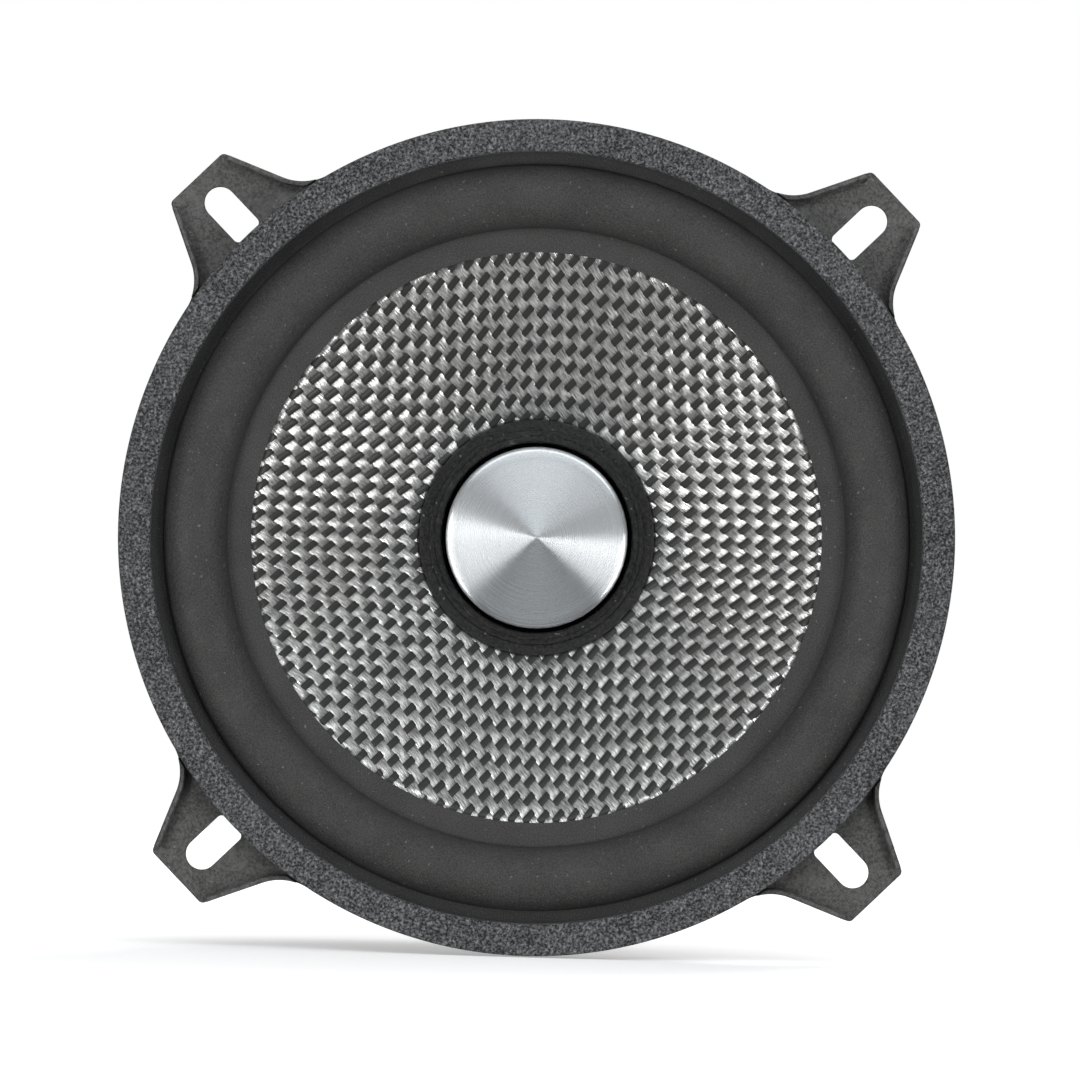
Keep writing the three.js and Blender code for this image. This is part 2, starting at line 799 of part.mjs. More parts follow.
const blackPaint = () => finish(0x23211f, 0.55, 0.1);
const zinc = () => finish(0xb9bcc0, 0.4, 0.9);
const copper = () => finish(0xb87333, 0.45, 0.8);
const castBlack = () => finish(0x1d1c1b, 0.6, 0);

// ---------------------------------------------------------------- assembly

const speaker = new THREE.Group();
speaker.rotation.x = Math.PI / 2;

function place(parent, name, shape, material) {
  const mesh = new THREE.Mesh(shape, material);
  mesh.name = name;
  parent.add(mesh);
  return mesh;
}

place(speaker, "basket", makeBasket(), blackPaint());
place(speaker, "gasket", makeGasket(), finish(0x55585c, 0.95, 0));
place(speaker, "surround", makeSurround(), finish(0x2b2a2a, 0.7, 0));
place(speaker, "cone", makeCone(), finish(0x9a9a96, 0.5, 0.3));
place(speaker, "cone_collar", makeCollar(), finish(0x161616, 0.35, 0));
place(speaker, "spider", makeSpider(), finish(0xc8a24a, 0.9, 0));
place(speaker, "voice_coil_former", makeFormer(), finish(0xc9ccd0, 0.35, 0.9));
place(speaker, "voice_coil_winding", makeWinding(), copper());
place(speaker, "top_plate", makeTopPlate(), zinc());
place(speaker, "magnet", makeMagnet(), finish(0x2e2f31, 0.8, 0));
place(speaker, "pole_yoke", makeYoke(), zinc());
place(speaker, "phase_plug", makePlug(), finish(0xb4b8bd, 0.3, 1));

const plugScrew = place(speaker, "plug_screw", makePlugScrew(), zinc());
plugScrew.position.z = screwSeat;

plateScrewPlaces().forEach((spot, i) => {
  const screw = place(speaker, `plate_screw_${i + 1}`, makePlateScrew(), zinc());
  screw.rotation.x = Math.PI;
  screw.position.set(spot.x, spot.y, sheet - seatDepth + touch);
});

const terminals = new THREE.Group();
wallFrame().decompose(terminals.position, terminals.quaternion, terminals.scale);
speaker.add(terminals);
place(terminals, "terminal_board", makeBoard(), finish(0x6b4a2c, 0.75, 0));
const boardRivet = place(
  terminals,
  "board_rivet",
  makeRivet(-sheet / 2, boardFront),
  zinc(),
);
boardRivet.position.y = -boardDrop;

for (const [pole, width] of Object.entries(bladeWidths)) {
  const side = bladeSides[pole];
  const spot = new THREE.Group();
  spot.position.set((side * bladeSpacing) / 2, -boardDrop, 0);
  terminals.add(spot);
  place(spot, `terminal_blade_${pole}`, makeBlade(width), finish(0xd2c9a8, 0.35, 0.9));
  place(spot, `blade_rivet_${pole}`, makeRivet(boardRear, bladeFront), zinc());
  place(speaker, `tinsel_lead_${pole}`, makeLead(side), copper());
  const bead = place(speaker, `lead_bead_${pole}`, makeBead(), castBlack());
  bead.position.copy(beadPlace(side)).applyAxisAngle(new THREE.Vector3(0, 0, 1), terminalAngle);
}

const part = new THREE.Group();
part.add(speaker);

export default part;
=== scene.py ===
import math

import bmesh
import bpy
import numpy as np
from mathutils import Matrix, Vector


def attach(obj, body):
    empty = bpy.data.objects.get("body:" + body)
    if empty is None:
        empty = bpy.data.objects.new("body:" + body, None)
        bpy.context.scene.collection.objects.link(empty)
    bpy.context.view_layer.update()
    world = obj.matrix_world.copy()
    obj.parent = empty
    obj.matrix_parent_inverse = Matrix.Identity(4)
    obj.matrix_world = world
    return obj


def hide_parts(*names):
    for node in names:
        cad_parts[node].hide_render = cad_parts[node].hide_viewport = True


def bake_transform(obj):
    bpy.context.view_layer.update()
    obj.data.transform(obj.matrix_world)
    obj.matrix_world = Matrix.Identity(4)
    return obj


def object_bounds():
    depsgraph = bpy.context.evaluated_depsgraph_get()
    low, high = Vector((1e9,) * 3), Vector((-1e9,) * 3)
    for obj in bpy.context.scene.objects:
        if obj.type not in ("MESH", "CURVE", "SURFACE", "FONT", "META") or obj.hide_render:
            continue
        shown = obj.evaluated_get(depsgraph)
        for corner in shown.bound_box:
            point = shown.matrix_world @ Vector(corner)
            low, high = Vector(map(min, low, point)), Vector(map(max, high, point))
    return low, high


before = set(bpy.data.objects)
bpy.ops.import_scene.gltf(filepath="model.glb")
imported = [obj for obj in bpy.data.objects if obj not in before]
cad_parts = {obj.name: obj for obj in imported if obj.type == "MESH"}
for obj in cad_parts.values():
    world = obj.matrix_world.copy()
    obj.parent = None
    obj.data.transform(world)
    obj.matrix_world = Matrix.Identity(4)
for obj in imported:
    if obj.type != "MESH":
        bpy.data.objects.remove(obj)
cad_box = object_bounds()

# A round car speaker with a woven cone and a fixed aluminium phase plug.
#
# Pieces are drawn in the speaker's own frame in millimetres, x to the right, y up and z forward
# along the axis, from the axis at the flange's rear face. add_piece stands them up in metres, so
# that forward is -Y and up is +Z.

TURN = 2 * math.pi

# ---------------------------------------------------------------- sizes


def turned_size(node):
    """Inner radius, outer radius, rear and front of a round CAD node, in mm, from its points."""
    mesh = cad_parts[node].data
    flat = np.empty(3 * len(mesh.vertices))
    mesh.vertices.foreach_get("co", flat)
    x, y, z = 1000 * flat.reshape(-1, 3).T
    radius = np.hypot(x, z)
    return radius.min(), radius.max(), -y.max(), -y.min()


gasket_inner, gasket_outer, gasket_rear, gasket_front = turned_size("gasket")
surround_inner, surround_outer, surround_rear = turned_size("surround")[:3]
cone_inner, cone_outer, cone_rear, cone_front = turned_size("cone")
collar_inner, collar_outer, _, collar_front = turned_size("cone_collar")
former_inner, former_outer, former_rear, former_front = turned_size("voice_coil_former")
winding_inner, winding_outer, winding_rear, winding_front = turned_size("voice_coil_winding")
spider_inner, spider_outer, spider_rear, spider_front = turned_size("spider")
plate_inner, plate_outer, plate_rear, plate_front = turned_size("top_plate")
magnet_inner, magnet_outer, magnet_rear, magnet_front = turned_size("magnet")
yoke_inner, yoke_outer, yoke_rear, yoke_front = turned_size("pole_yoke")
plug_outer, plug_rear, plug_front = turned_size("phase_plug")[1:]
rubber = 0.6
roll_outer = 57.7
roll_inner = 48.3
roll_height = 4.3
cone_wall = 0.6
cone_land = 44.0  # where the cone's flat rim meets its slope
neck_middle = cone_inner + cone_wall / 2
neck_length = 3.0
spider_cloth = 0.5
plug_crown = 1.2
sheet = 1.0  # the basket's steel
frame_radius = 65.0
skirt_radius = frame_radius - 7.9
skirt_depth = 7.5
ledge_radius = 45.0
ledge_inner = 39.5
ledge_middle = -26.5
seat_radius = 38.7
seat_middle = -35.5
seat_hole = 20.0
window_half_angle = math.radians(28)
ear_tip = frame_radius + 11.9
ear_tip_half = 5.58
ear_flare = math.radians(24.4)
ear_fillet = 8.0
ear_corner = 0.9
lip_thickness = 0.85
lip_top = 3.0
slot_length, slot_width = 9.1, 4.9
slot_end = ear_tip - 2.9  # the slot's round outer end
slot_corner = 0.9  # at its flat inner end
screw_circle = 30.0
terminal_angle = math.radians(135)
board_size = (25.0, 12.0)
board_drop = 1.5  # board centre behind the middle of the wall
board_rear = 1.7  # these heights are outward from the middle of the wall
board_front = 3.3
blade_rear = 3.6
blade_front = 4.4
blade_spacing = 15.0
blade_widths = {"positive": 6.3, "negative": 4.8}
blade_sides = {"positive": 1, "negative": -1}
lead_radius = 0.5
lead_slot_rise = 7.5
bead_radius = 1.4
bead_spacing = 9.0
bead_circle = neck_middle + 5.5
screw_hole = 2.1
rivet_hole = 1.3
blade_reach = 15.0  # from a blade's rivet to its tip
blade_tail = 3.4  # from a blade's rivet to the end of its tail
socket_depth = 3.3  # from the back plate's rear face to the plug screw's seat
recess_radius = 4.9
glue_gap = 0.3  # between pieces that are glued, pressed or screwed together
cloth_middle = 0.25  # middle of the woven cloth ahead of the cone's middle surface
cloth_inner = 17.2
cloth_outer = 45.6
pitch = 1.98  # between neighbouring yarns in the flat cloth
black_angle = math.radians(45)  # the black yarns run up to the right

rim_middle = cone_front - cone_wall / 2
neck_front = cone_rear + neck_length
cone_slope = (rim_middle - neck_front) / (cone_land - neck_middle)
cone_angle = math.atan(cone_slope)


def cone_height(radius):
    """Height of the cone's middle surface: its slope's straight line, flat beyond the slope."""
    return rim_middle - np.maximum(cone_land - radius, 0) * cone_slope


# The conical wall between skirt and ledge, as (radius, height): it carries the terminals.
wall_top = np.array([skirt_radius, -skirt_depth])
wall_foot = np.array([ledge_radius, ledge_middle])
wall_centre = (wall_top + wall_foot) / 2
wall_forward = (wall_top - wall_foot) / np.linalg.norm(wall_top - wall_foot)
wall_outward = np.array([wall_forward[1], -wall_forward[0]])


def round_axis(radius, side, height, angle):
    """Points at a radius, a sideways distance and a height, turned about the axis."""
    cos, sin = math.cos(angle), math.sin(angle)
    radius, side, height = np.broadcast_arrays(radius, side, height)
    return np.stack([radius * cos - side * sin, radius * sin + side * cos, height], axis=-1)


def on_wall(points):
    """From the terminals' wall (across, forward, outward) to the speaker's frame."""
    across, forward, outward = np.moveaxis(np.asarray(points, float), -1, 0)
    radius, height = (
        wall_centre[:, None]
        + wall_forward[:, None] * forward.ravel()
        + wall_outward[:, None] * outward.ravel()
    )
    return round_axis(radius, across.ravel(), height, terminal_angle).reshape(points.shape)


# ---------------------------------------------------------------- meshes


def add_piece(name, points, faces, uv=None, values=None, crease=35):
    """A mesh of points (speaker's frame, mm) and faces, with sharp edges above an angle."""
    x, y, z = np.moveaxis(np.asarray(points, float).reshape(-1, 3), -1, 0)
    mesh = bpy.data.meshes.new(name)
    mesh.from_pydata(np.stack([x, -z, y], axis=-1) / 1000, [], faces)
    if uv is not None:
        corners = np.empty(len(mesh.loops), np.int32)
        mesh.loops.foreach_get("vertex_index", corners)
        layer = mesh.uv_layers.new(name="UVMap")
        layer.data.foreach_set("uv", np.asarray(uv, float).reshape(-1, 2)[corners].ravel())
    for label, value in (values or {}).items():
        layer = mesh.attributes.new(label, "FLOAT", "POINT")
        layer.data.foreach_set("value", np.asarray(value, float).ravel())
    body = bmesh.new()
    body.from_mesh(mesh)
    bmesh.ops.remove_doubles(body, verts=body.verts, dist=1e-7)
    body.to_mesh(mesh)
    body.free()
    mesh.shade_smooth()
    mesh.set_sharp_from_angle(angle=math.radians(crease))
    piece = bpy.data.objects.new(name, mesh)
    bpy.context.scene.collection.objects.link(piece)
    return piece


def quads(rows, columns, wrap_rows, wrap_columns):
    """The faces of a grid of points numbered row by row, closed round either way."""
    row, column = np.meshgrid(
        np.arange(rows if wrap_rows else rows - 1),
        np.arange(columns if wrap_columns else columns - 1),
        indexing="ij",
    )
    next_row, next_column = (row + 1) % rows, (column + 1) % columns
    corners = [
        row * columns + column,
        next_row * columns + column,
        next_row * columns + next_column,
        row * columns + next_column,
    ]
    return np.stack(corners, axis=-1).reshape(-1, 4)


def with_margins(section, margin=1.0):
    """Adds points near both ends of each long run, so that the lightened edges (wear and painted
    highlight) stay near them.
    """
    points = []
    for here, there in zip(section, np.roll(section, -1, axis=0)):
        points.append(here)
        way = there - here
        length = math.hypot(*way)
        if length > 4 * margin and max(here[0], there[0]) > 0:
            points += [here + way * margin / length, there - way * margin / length]
    return np.array(points)


def turned(name, section, steps, place=None, **more):
    """A closed section of (radius, height) points, carried round the axis in even steps."""
    section = with_margins(np.asarray(section, float))
    radius, height = section.T
    if np.sum(radius * np.roll(height, -1) - np.roll(radius, -1) * height) < 0:
        section = section[::-1]
        radius, height = section.T
    angle = np.arange(steps) * TURN / steps
    points = np.stack(
        [
            np.outer(np.cos(angle), radius),
            np.outer(np.sin(angle), radius),
            np.broadcast_to(height, (steps, len(height))),
        ],
        axis=-1,
    )
    faces = quads(steps, len(section), True, True)
    beside = radius[faces % len(section)]
    along = np.cumsum(np.hypot(*np.diff(section, axis=0, prepend=section[:1]).T))
    uv = np.stack(np.broadcast_arrays(along[None, :], angle[:, None]), axis=-1)
    if place:
        points = place(points)
    return add_piece(name, points, faces[beside.max(axis=1) > 0], uv=uv, **more)


def plate(name, outlines, rear, front, edge, place=None):
    """Flat outlines, holes among them, raised between two heights with chamfered edges."""
    curve = bpy.data.curves.new(name, "CURVE")
    curve.dimensions = "2D"
    curve.fill_mode = "BOTH"
    curve.extrude = (front - rear) / 2 - edge
    curve.bevel_depth = edge
    curve.bevel_resolution = 0
    curve.offset = -edge
    for outline in outlines:
        spline = curve.splines.new("POLY")
        spline.points.add(len(outline) - 1)
        rest = np.broadcast_to([0.0, 1.0], (len(outline), 2))
        spline.points.foreach_set("co", np.concatenate([outline, rest], axis=1).ravel())
        spline.use_cyclic_u = True
    drawn = bpy.data.objects.new(name, curve)
    bpy.context.scene.collection.objects.link(drawn)
    mesh = bpy.data.meshes.new_from_object(
        drawn.evaluated_get(bpy.context.evaluated_depsgraph_get())
    )
    bpy.data.objects.remove(drawn)
    flat = np.empty(3 * len(mesh.vertices))
    mesh.vertices.foreach_get("co", flat)
    points = flat.reshape(-1, 3) + [0, 0, (rear + front) / 2]
    faces = [tuple(face.vertices) for face in mesh.polygons]
    if place:
        points = place(points)
    piece = add_piece(name, points, faces)
    face_out(piece)
    return piece


def face_out(piece):
    body = bmesh.new()
    body.from_mesh(piece.data)
    bmesh.ops.recalc_face_normals(body, faces=body.faces)
    body.to_mesh(piece.data)
    body.free()


def prism(outline, low, high):
    """Points and faces of an outline pushed straight between two heights."""
    outline = np.asarray(outline, float)
    count = len(outline)
    points = np.concatenate(
        [np.insert(outline, 2, low, axis=1), np.insert(outline, 2, high, axis=1)]
    )
    around = np.arange(count)
    after = (around + 1) % count
    sides = np.stack([around, after, after + count, around + count], axis=-1)
    faces = [tuple(face) for face in sides]
    faces += [tuple(around[::-1]), tuple(around + count)]
    return points, faces


def gather(name, solids):
    """One object of several (points, faces) solids, for joining to or cutting from another."""
    points, faces, start = [], [], 0
    for corners, sides in solids:
        points.append(corners)
        faces += [tuple(np.add(side, start)) for side in sides]
        start += len(corners)
    piece = add_piece(name, np.concatenate(points), faces)
    face_out(piece)
    return piece


def combine(piece, **others):
    """Joins pieces to a piece or cuts them from it, and leaves the one result."""
    for operation, other in others.items():
        change = piece.modifiers.new(operation, "BOOLEAN")
        change.operation = {"join": "UNION", "cut": "DIFFERENCE"}[operation]
        change.solver = "EXACT"
        change.object = other
    depsgraph = bpy.context.evaluated_depsgraph_get()
    mesh = bpy.data.meshes.new_from_object(piece.evaluated_get(depsgraph))
    piece.modifiers.clear()
    piece.data = mesh
    mesh.shade_smooth()
    mesh.set_sharp_from_angle(angle=math.radians(30))
    for other in others.values():
        bpy.data.objects.remove(other)
    return piece


def circle(radius, x=0.0, y=0.0, steps=32):
    angle = np.arange(steps) * TURN / steps
    return np.stack([x + radius * np.cos(angle), y + radius * np.sin(angle)], axis=-1)


def obround(length, width, x, y, steps=16):
    """A slot's outline with round ends, its length along x."""
    angle = np.linspace(-math.pi / 2, math.pi / 2, steps + 1)
    end = width / 2 * np.stack([np.cos(angle), np.sin(angle)], axis=-1)
    end[:, 0] += (length - width) / 2
    return np.concatenate([end, -end]) + [x, y]


def turned_by(outline, angle):
    cos, sin = math.cos(angle), math.sin(angle)
    return np.asarray(outline) @ [[cos, sin], [-sin, cos]]


def quarters(first=0.0):
    return [first + turn * TURN / 4 for turn in range(4)]


def swept(name, path, radius, sides, twist):
    """A tube along a path whose braid stands proud where two sets of helices cross."""
    along = np.concatenate([[0], np.cumsum(np.linalg.norm(np.diff(path, axis=0), axis=1))])
    ahead = np.gradient(path, axis=0)
    ahead /= np.linalg.norm(ahead, axis=1)[:, None]
    side = np.cross(ahead, [math.sin(terminal_angle), -math.cos(terminal_angle), 0.3])
    side /= np.linalg.norm(side, axis=1)[:, None]
    up = np.cross(ahead, side)
    angle = np.arange(sides) * TURN / sides
    lines = np.cos(4 * angle[None] + twist * along[:, None])
    lines = np.maximum(lines, np.cos(4 * angle[None] - twist * along[:, None]))
    size = radius * (0.9 + 0.12 * lines)
    size[[0, -1]] = 0
    points = (
        path[:, None]
        + (size * np.cos(angle))[:, :, None] * side[:, None]
        + (size * np.sin(angle))[:, :, None] * up[:, None]
    )
    uv = np.stack(np.broadcast_arrays(along[:, None], angle[None] / TURN), axis=-1)
    piece = add_piece(name, points, quads(len(path), sides, False, True), uv=uv, crease=60)
    face_out(piece)
    return piece


def rounded(corners, steps=6, closed=True):
    """A line through (x, y, radius) corners, each one rounded by an arc of its radius."""
    corners = np.asarray(corners, float)
    parts = []
    for i, (x, y, radius) in enumerate(corners):
        here = np.array([x, y])
        if not radius or (not closed and i in (0, len(corners) - 1)):
            parts.append(here[None])
            continue
        before = corners[i - 1, :2] - here
        after = corners[(i + 1) % len(corners), :2] - here
        before, after = before / np.linalg.norm(before), after / np.linalg.norm(after)
        half = math.acos(before @ after) / 2
        middle = (before + after) / np.linalg.norm(before + after)
        centre = here + middle * radius / math.sin(half)
        start = here + before * radius / math.tan(half) - centre
        way = np.sign(before[1] * after[0] - before[0] * after[1])
        angle = way * np.linspace(0, math.pi - 2 * half, steps + 1)[:, None]
        parts.append(centre + np.cos(angle) * start + np.sin(angle) * [-start[1], start[0]])
    return np.concatenate(parts)


def ring_section(inner, outer, rear, front, edge):
    """A rectangle between two radii and two heights, with round corners."""
    places = [(inner, rear), (outer, rear), (outer, front), (inner, front)]
    return rounded([(*place, edge) for place in places])


def beside_line(line, distance):
    """The line moved sideways, each point along the mean of its two segments' normals."""
    step = np.diff(line, axis=0)
    step /= np.linalg.norm(step, axis=1)[:, None]
    before = np.concatenate([step[:1], step])
    after = np.concatenate([step, step[-1:]])
    normal = np.stack([-(before + after)[:, 1], (before + after)[:, 0]], axis=-1)
    normal /= np.linalg.norm(normal, axis=1)[:, None]
    reach = distance / (normal * np.stack([-before[:, 1], before[:, 0]], axis=-1)).sum(axis=1)
    return line + normal * reach[:, None]


def sheet_section(line, left, right):
    """The section of a sheet that reaches two distances from a line, to its left and right."""
    return np.concatenate([beside_line(line, left), beside_line(line, -right)[::-1]])


def smooth(share):
    """Nought to one with level ends: 3s^2 - 2s^3 of the share, kept within its ends."""
    share = np.clip(share, 0, 1)
    return share * share * (3 - 2 * share)


def radii(piece):
    """Each point's distance from the axis, in mm."""
    flat = np.empty(3 * len(piece.data.vertices))
    piece.data.vertices.foreach_get("co", flat)
    return 1000 * np.hypot(flat[0::3], flat[2::3])


def stretch(piece, weights):
    """Bakes a piece's placement into its points and bends nothing; its weights are not used."""
    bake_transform(piece)


# ---------------------------------------------------------------- camera, lights and floor


def make_camera():
    """A long lens straight in front of the cone, turned a little about its own axis."""
    distance, width = 1500.0, 167.1  # camera to gasket, and what the view takes in there
    data = bpy.data.cameras.new("camera")
    data.lens = data.sensor_width * distance / width
    data.clip_end = 10
    camera = bpy.data.objects.new("camera", data)
    bpy.context.scene.collection.objects.link(camera)
    place = Vector((0.55, -(distance + gasket_front), -0.35)) / 1000
    upright = Matrix.Rotation(math.radians(90), 4, "X")
    camera.matrix_world = (
        Matrix.Translation(place) @ upright @ Matrix.Rotation(math.radians(1.65), 4, "Z")
    )
    bpy.context.scene.camera = camera


def add_light(name, place, size, power, warmth=(1, 1, 1)):
    """A soft light at a place in metres, facing the speaker. Its size is (across, upright)."""
    data = bpy.data.lights.new(name, "AREA")
    data.shape = "RECTANGLE"
    data.size, data.size_y = size
    data.energy = power
    data.color = warmth
    lamp = bpy.data.objects.new(name, data)
    bpy.context.scene.collection.objects.link(lamp)
    lamp.location = place
    lamp.rotation_mode = "QUATERNION"
    lamp.rotation_quaternion = (-Vector(place)).to_track_quat("-Z", "Y")
    lamp.visible_camera = False


def make_lights():
    add_light("left", (-0.78, -0.95, -0.2), (0.4, 0.8), 9.5)
    add_light("right", (0.8, -0.95, -0.28), (0.36, 0.6), 8)
    add_light("top", (0.12, -1.0, 0.64), (1.6, 0.45), 7.5, (0.93, 0.97, 1))
    add_light("rear", (0.5, 0.9, 1.0), (0.8, 0.8), 10)


def make_world():
    """White where the camera sees it. Where it lights: a dim band with more above and below."""
    world = bpy.data.worlds.new("studio")
    world.use_nodes = True
    tree = world.node_tree
    shader = tree.nodes["Background"]
    spot = add(tree, "TexCoord").outputs["Generated"]
    height = add(tree, "SeparateXYZ", {0: spot}).outputs[2]
    above = between(tree, height, -0.35, 0.7, 0.015, 0.55)
    below = between(tree, height, -0.55, -0.85, 0.0, 0.8)
    seen = add(tree, "LightPath").outputs["Is Camera Ray"]
    tone = calc(tree, "ADD", above, below)
    tree.links.new(mix(tree, seen, tone, grey(1)), shader.inputs["Color"])
    bpy.context.scene.world = world


def make_floor():
    """A wide round sheet under the rim, drawn as a fan of triangles about its centre."""
    radius, steps = 0.6, 96
    angle = np.arange(steps) * TURN / steps
    low = cad_box[0].z * 1000
    ring = 1000 * radius * np.stack([np.cos(angle), 0 * angle, np.sin(angle)], axis=-1)
    points = np.concatenate([ring, [[0, 0, 0]]]) + [0, low, 0]
    around = np.arange(steps)
    faces = np.stack([around, np.full(steps, steps), (around + 1) % steps], axis=-1)
    floor = add_piece("floor", points, faces)
    dress(floor, floor_paper())
    floor.visible_glossy = False
    floor.visible_diffuse = False
    floor.visible_shadow = False


# ---------------------------------------------------------------- node trees


def add(tree, kind, inputs=(), **settings):
    """Adds a node. An input given a socket is linked to it, and any other is set."""
    made = tree.nodes.new("ShaderNode" + kind)
    for label, value in settings.items():
        setattr(made, label, value)
    for label, value in dict(inputs).items():
        if isinstance(value, bpy.types.NodeSocket):
            tree.links.new(value, made.inputs[label])
        else:
            made.inputs[label].default_value = value
    return made


def grey(value):
    return (value, value, value, 1)


def calc(tree, operation, *values):
    return add(tree, "Math", dict(enumerate(values)), operation=operation).outputs[0]


def mix(tree, share, first, second):
    return add(tree, "Mix", {0: share, 6: first, 7: second}, data_type="RGBA").outputs[2]


def noise(tree, spot, scale, detail=2.0, roughness=0.5):
    inputs = {"Vector": spot, "Scale": scale, "Detail": detail, "Roughness": roughness}
    return add(tree, "TexNoise", inputs).outputs[0]


def between(tree, value, low, high, to_low=0.0, to_high=1.0):
    """The value's share of the way from low to high, spread over the new range."""
    return add(tree, "MapRange", {0: value, 1: low, 2: high, 3: to_low, 4: to_high}).outputs[0]


def new_group(name, takes, gives):
    """An empty node group with named inputs and outputs, and its two end nodes."""
    tree = bpy.data.node_groups.new(name, "ShaderNodeTree")
    for label, (kind, value) in takes.items():
        kind = "NodeSocket" + kind
        socket = tree.interface.new_socket(label, in_out="INPUT", socket_type=kind)
        if value is not None:
            socket.default_value = value
    for label, kind in gives.items():
        kind = "NodeSocket" + kind
        tree.interface.new_socket(label, in_out="OUTPUT", socket_type=kind)
    return tree, tree.nodes.new("NodeGroupInput").outputs, tree.nodes.new("NodeGroupOutput").inputs


def join(tree, pairs):
    for source, target in pairs:
        tree.links.new(source, target)


def grain_group():
    """Fine grains of two sizes over slow patches, between two colours."""
    takes = {
        "Spot": ("Vector", None),
        "Scale": ("Float", 2000.0),
        "Dark": ("Color", grey(0.02)),
        "Light": ("Color", grey(0.05)),
        "Patches": ("Float", 0.2),
    }
    tree, take, give = new_group("grain", takes, {"Color": "Color", "Height": "Float"})
    fine = noise(tree, take["Spot"], take["Scale"], 3, 0.65)
    slow = noise(tree, take["Spot"], calc(tree, "MULTIPLY", take["Scale"], 0.03), 2)
    patch = calc(tree, "MULTIPLY", calc(tree, "SUBTRACT", slow, 0.5), take["Patches"])
    height = between(tree, fine, 0.38, 0.62)
    shade = calc(tree, "ADD", height, patch)
    shade = calc(tree, "MINIMUM", calc(tree, "MAXIMUM", shade, 0), 1)
    colour = mix(tree, shade, take["Dark"], take["Light"])
    join(tree, [(colour, give["Color"]), (height, give["Height"])])
    return tree


def rings_group():
    """Lines of uneven depth round the speaker's axis, as a lathe's tool leaves them."""
    takes = {"Spot": ("Vector", None), "Lines": ("Float", 5000.0), "Drift": ("Float", 0.3)}
    tree, take, give = new_group("turned rings", takes, {"Height": "Float"})
    apart = add(tree, "SeparateXYZ", {0: take["Spot"]}).outputs
    out = calc(tree, "MULTIPLY", apart["X"], apart["X"])
    up = calc(tree, "MULTIPLY", apart["Z"], apart["Z"])
    radius = calc(tree, "SQRT", calc(tree, "ADD", out, up))
    line = add(tree, "TexNoise", {"W": radius, "Scale": take["Lines"], "Detail": 3.0},
               noise_dimensions="1D").outputs[0]
    slow = noise(tree, take["Spot"], 60.0)
    drift = calc(tree, "MULTIPLY", calc(tree, "SUBTRACT", slow, 0.5), take["Drift"])
    join(tree, [(calc(tree, "ADD", line, drift), give["Height"])])
    return tree


def wear_and_edge_highlight_group():
    """Lighter patches along sharp edges, broken up by noise: partly bare or polished wear, partly a
    painted highlight where a bevel would catch the light.
    """
    takes = {
        "Spot": ("Vector", None),
        "Color": ("Color", grey(0.05)),
        "Worn": ("Color", grey(0.3)),
        "Amount": ("Float", 0.5),
    }
    tree, take, give = new_group("edge wear and painted highlight", takes, {"Color": "Color", "Mask": "Float"})
    sharp = add(tree, "NewGeometry").outputs["Pointiness"]
    # Painted highlight in part: sharp edges are lightened as a bevel would catch the light, besides
    # real wear.
    edge = between(tree, sharp, 0.52, 0.58)
    broken = between(tree, noise(tree, take["Spot"], 700.0, 4), 0.4, 0.62)
    mask = calc(tree, "MULTIPLY", calc(tree, "MULTIPLY", edge, broken), take["Amount"])
    colour = mix(tree, mask, take["Color"], take["Worn"])
    join(tree, [(colour, give["Color"]), (mask, give["Mask"])])
    return tree


def dust_group():
    """Pale specks and a thin film where a face looks up."""
    takes = {"Spot": ("Vector", None), "Color": ("Color", grey(0.05)), "Amount": ("Float", 0.3)}
    tree, take, give = new_group("dust", takes, {"Color": "Color", "Cover": "Float"})
    speck = between(tree, noise(tree, take["Spot"], 1500.0, 1), 0.72, 0.78)
    up = add(tree, "SeparateXYZ", {0: add(tree, "NewGeometry").outputs["Normal"]}).outputs["Z"]
    film = calc(tree, "MULTIPLY", between(tree, up, 0.3, 1.0), noise(tree, take["Spot"], 90.0))
    cover = calc(tree, "MAXIMUM", speck, calc(tree, "MULTIPLY", film, 0.35))
    cover = calc(tree, "MULTIPLY", cover, take["Amount"])
    colour = mix(tree, cover, take["Color"], grey(0.32))
    join(tree, [(colour, give["Color"]), (cover, give["Cover"])])
    return tree


def fibre_group():
    """Streaks that run along a yarn, squeezed across it, and darker where the yarn dips, as painted
    shade.
    """
    takes = {
        "Along": ("Vector", None),
        "Dark": ("Color", grey(0.1)),
        "Light": ("Color", grey(0.4)),
        "Strands": ("Float", 14.0),
        "Length": ("Float", 0.6),
        "Dip": ("Float", 0.0),
    }
    tree, take, give = new_group("fibres", takes, {"Color": "Color", "Height": "Float"})
    apart = add(tree, "SeparateXYZ", {0: take["Along"]}).outputs
    along = calc(tree, "MULTIPLY", apart["X"], take["Length"])
    across = calc(tree, "MULTIPLY", apart["Y"], take["Strands"])
    spot = add(tree, "CombineXYZ", {0: along, 1: across}).outputs[0]
    streak = noise(tree, spot, 1.0, 2)
    shade = between(tree, streak, 0.36, 0.64)
    slow = noise(tree, add(tree, "CombineXYZ", {0: apart["X"]}).outputs[0], 0.5, 0)
    shade = calc(tree, "MULTIPLY", shade, between(tree, slow, 0.3, 0.7, 0.4, 1.0))
    tone = mix(tree, shade, take["Dark"], take["Light"])
    # Painted shade: where the yarn dips, its colour is mixed towards near black.
    painted_dip_shade = calc(tree, "MULTIPLY", take["Dip"], 0.5)
    join(tree, [
        (mix(tree, painted_dip_shade, tone, grey(0.03)), give["Color"]),
        (streak, give["Height"]),
    ])
    return tree


# ---------------------------------------------------------------- finishes


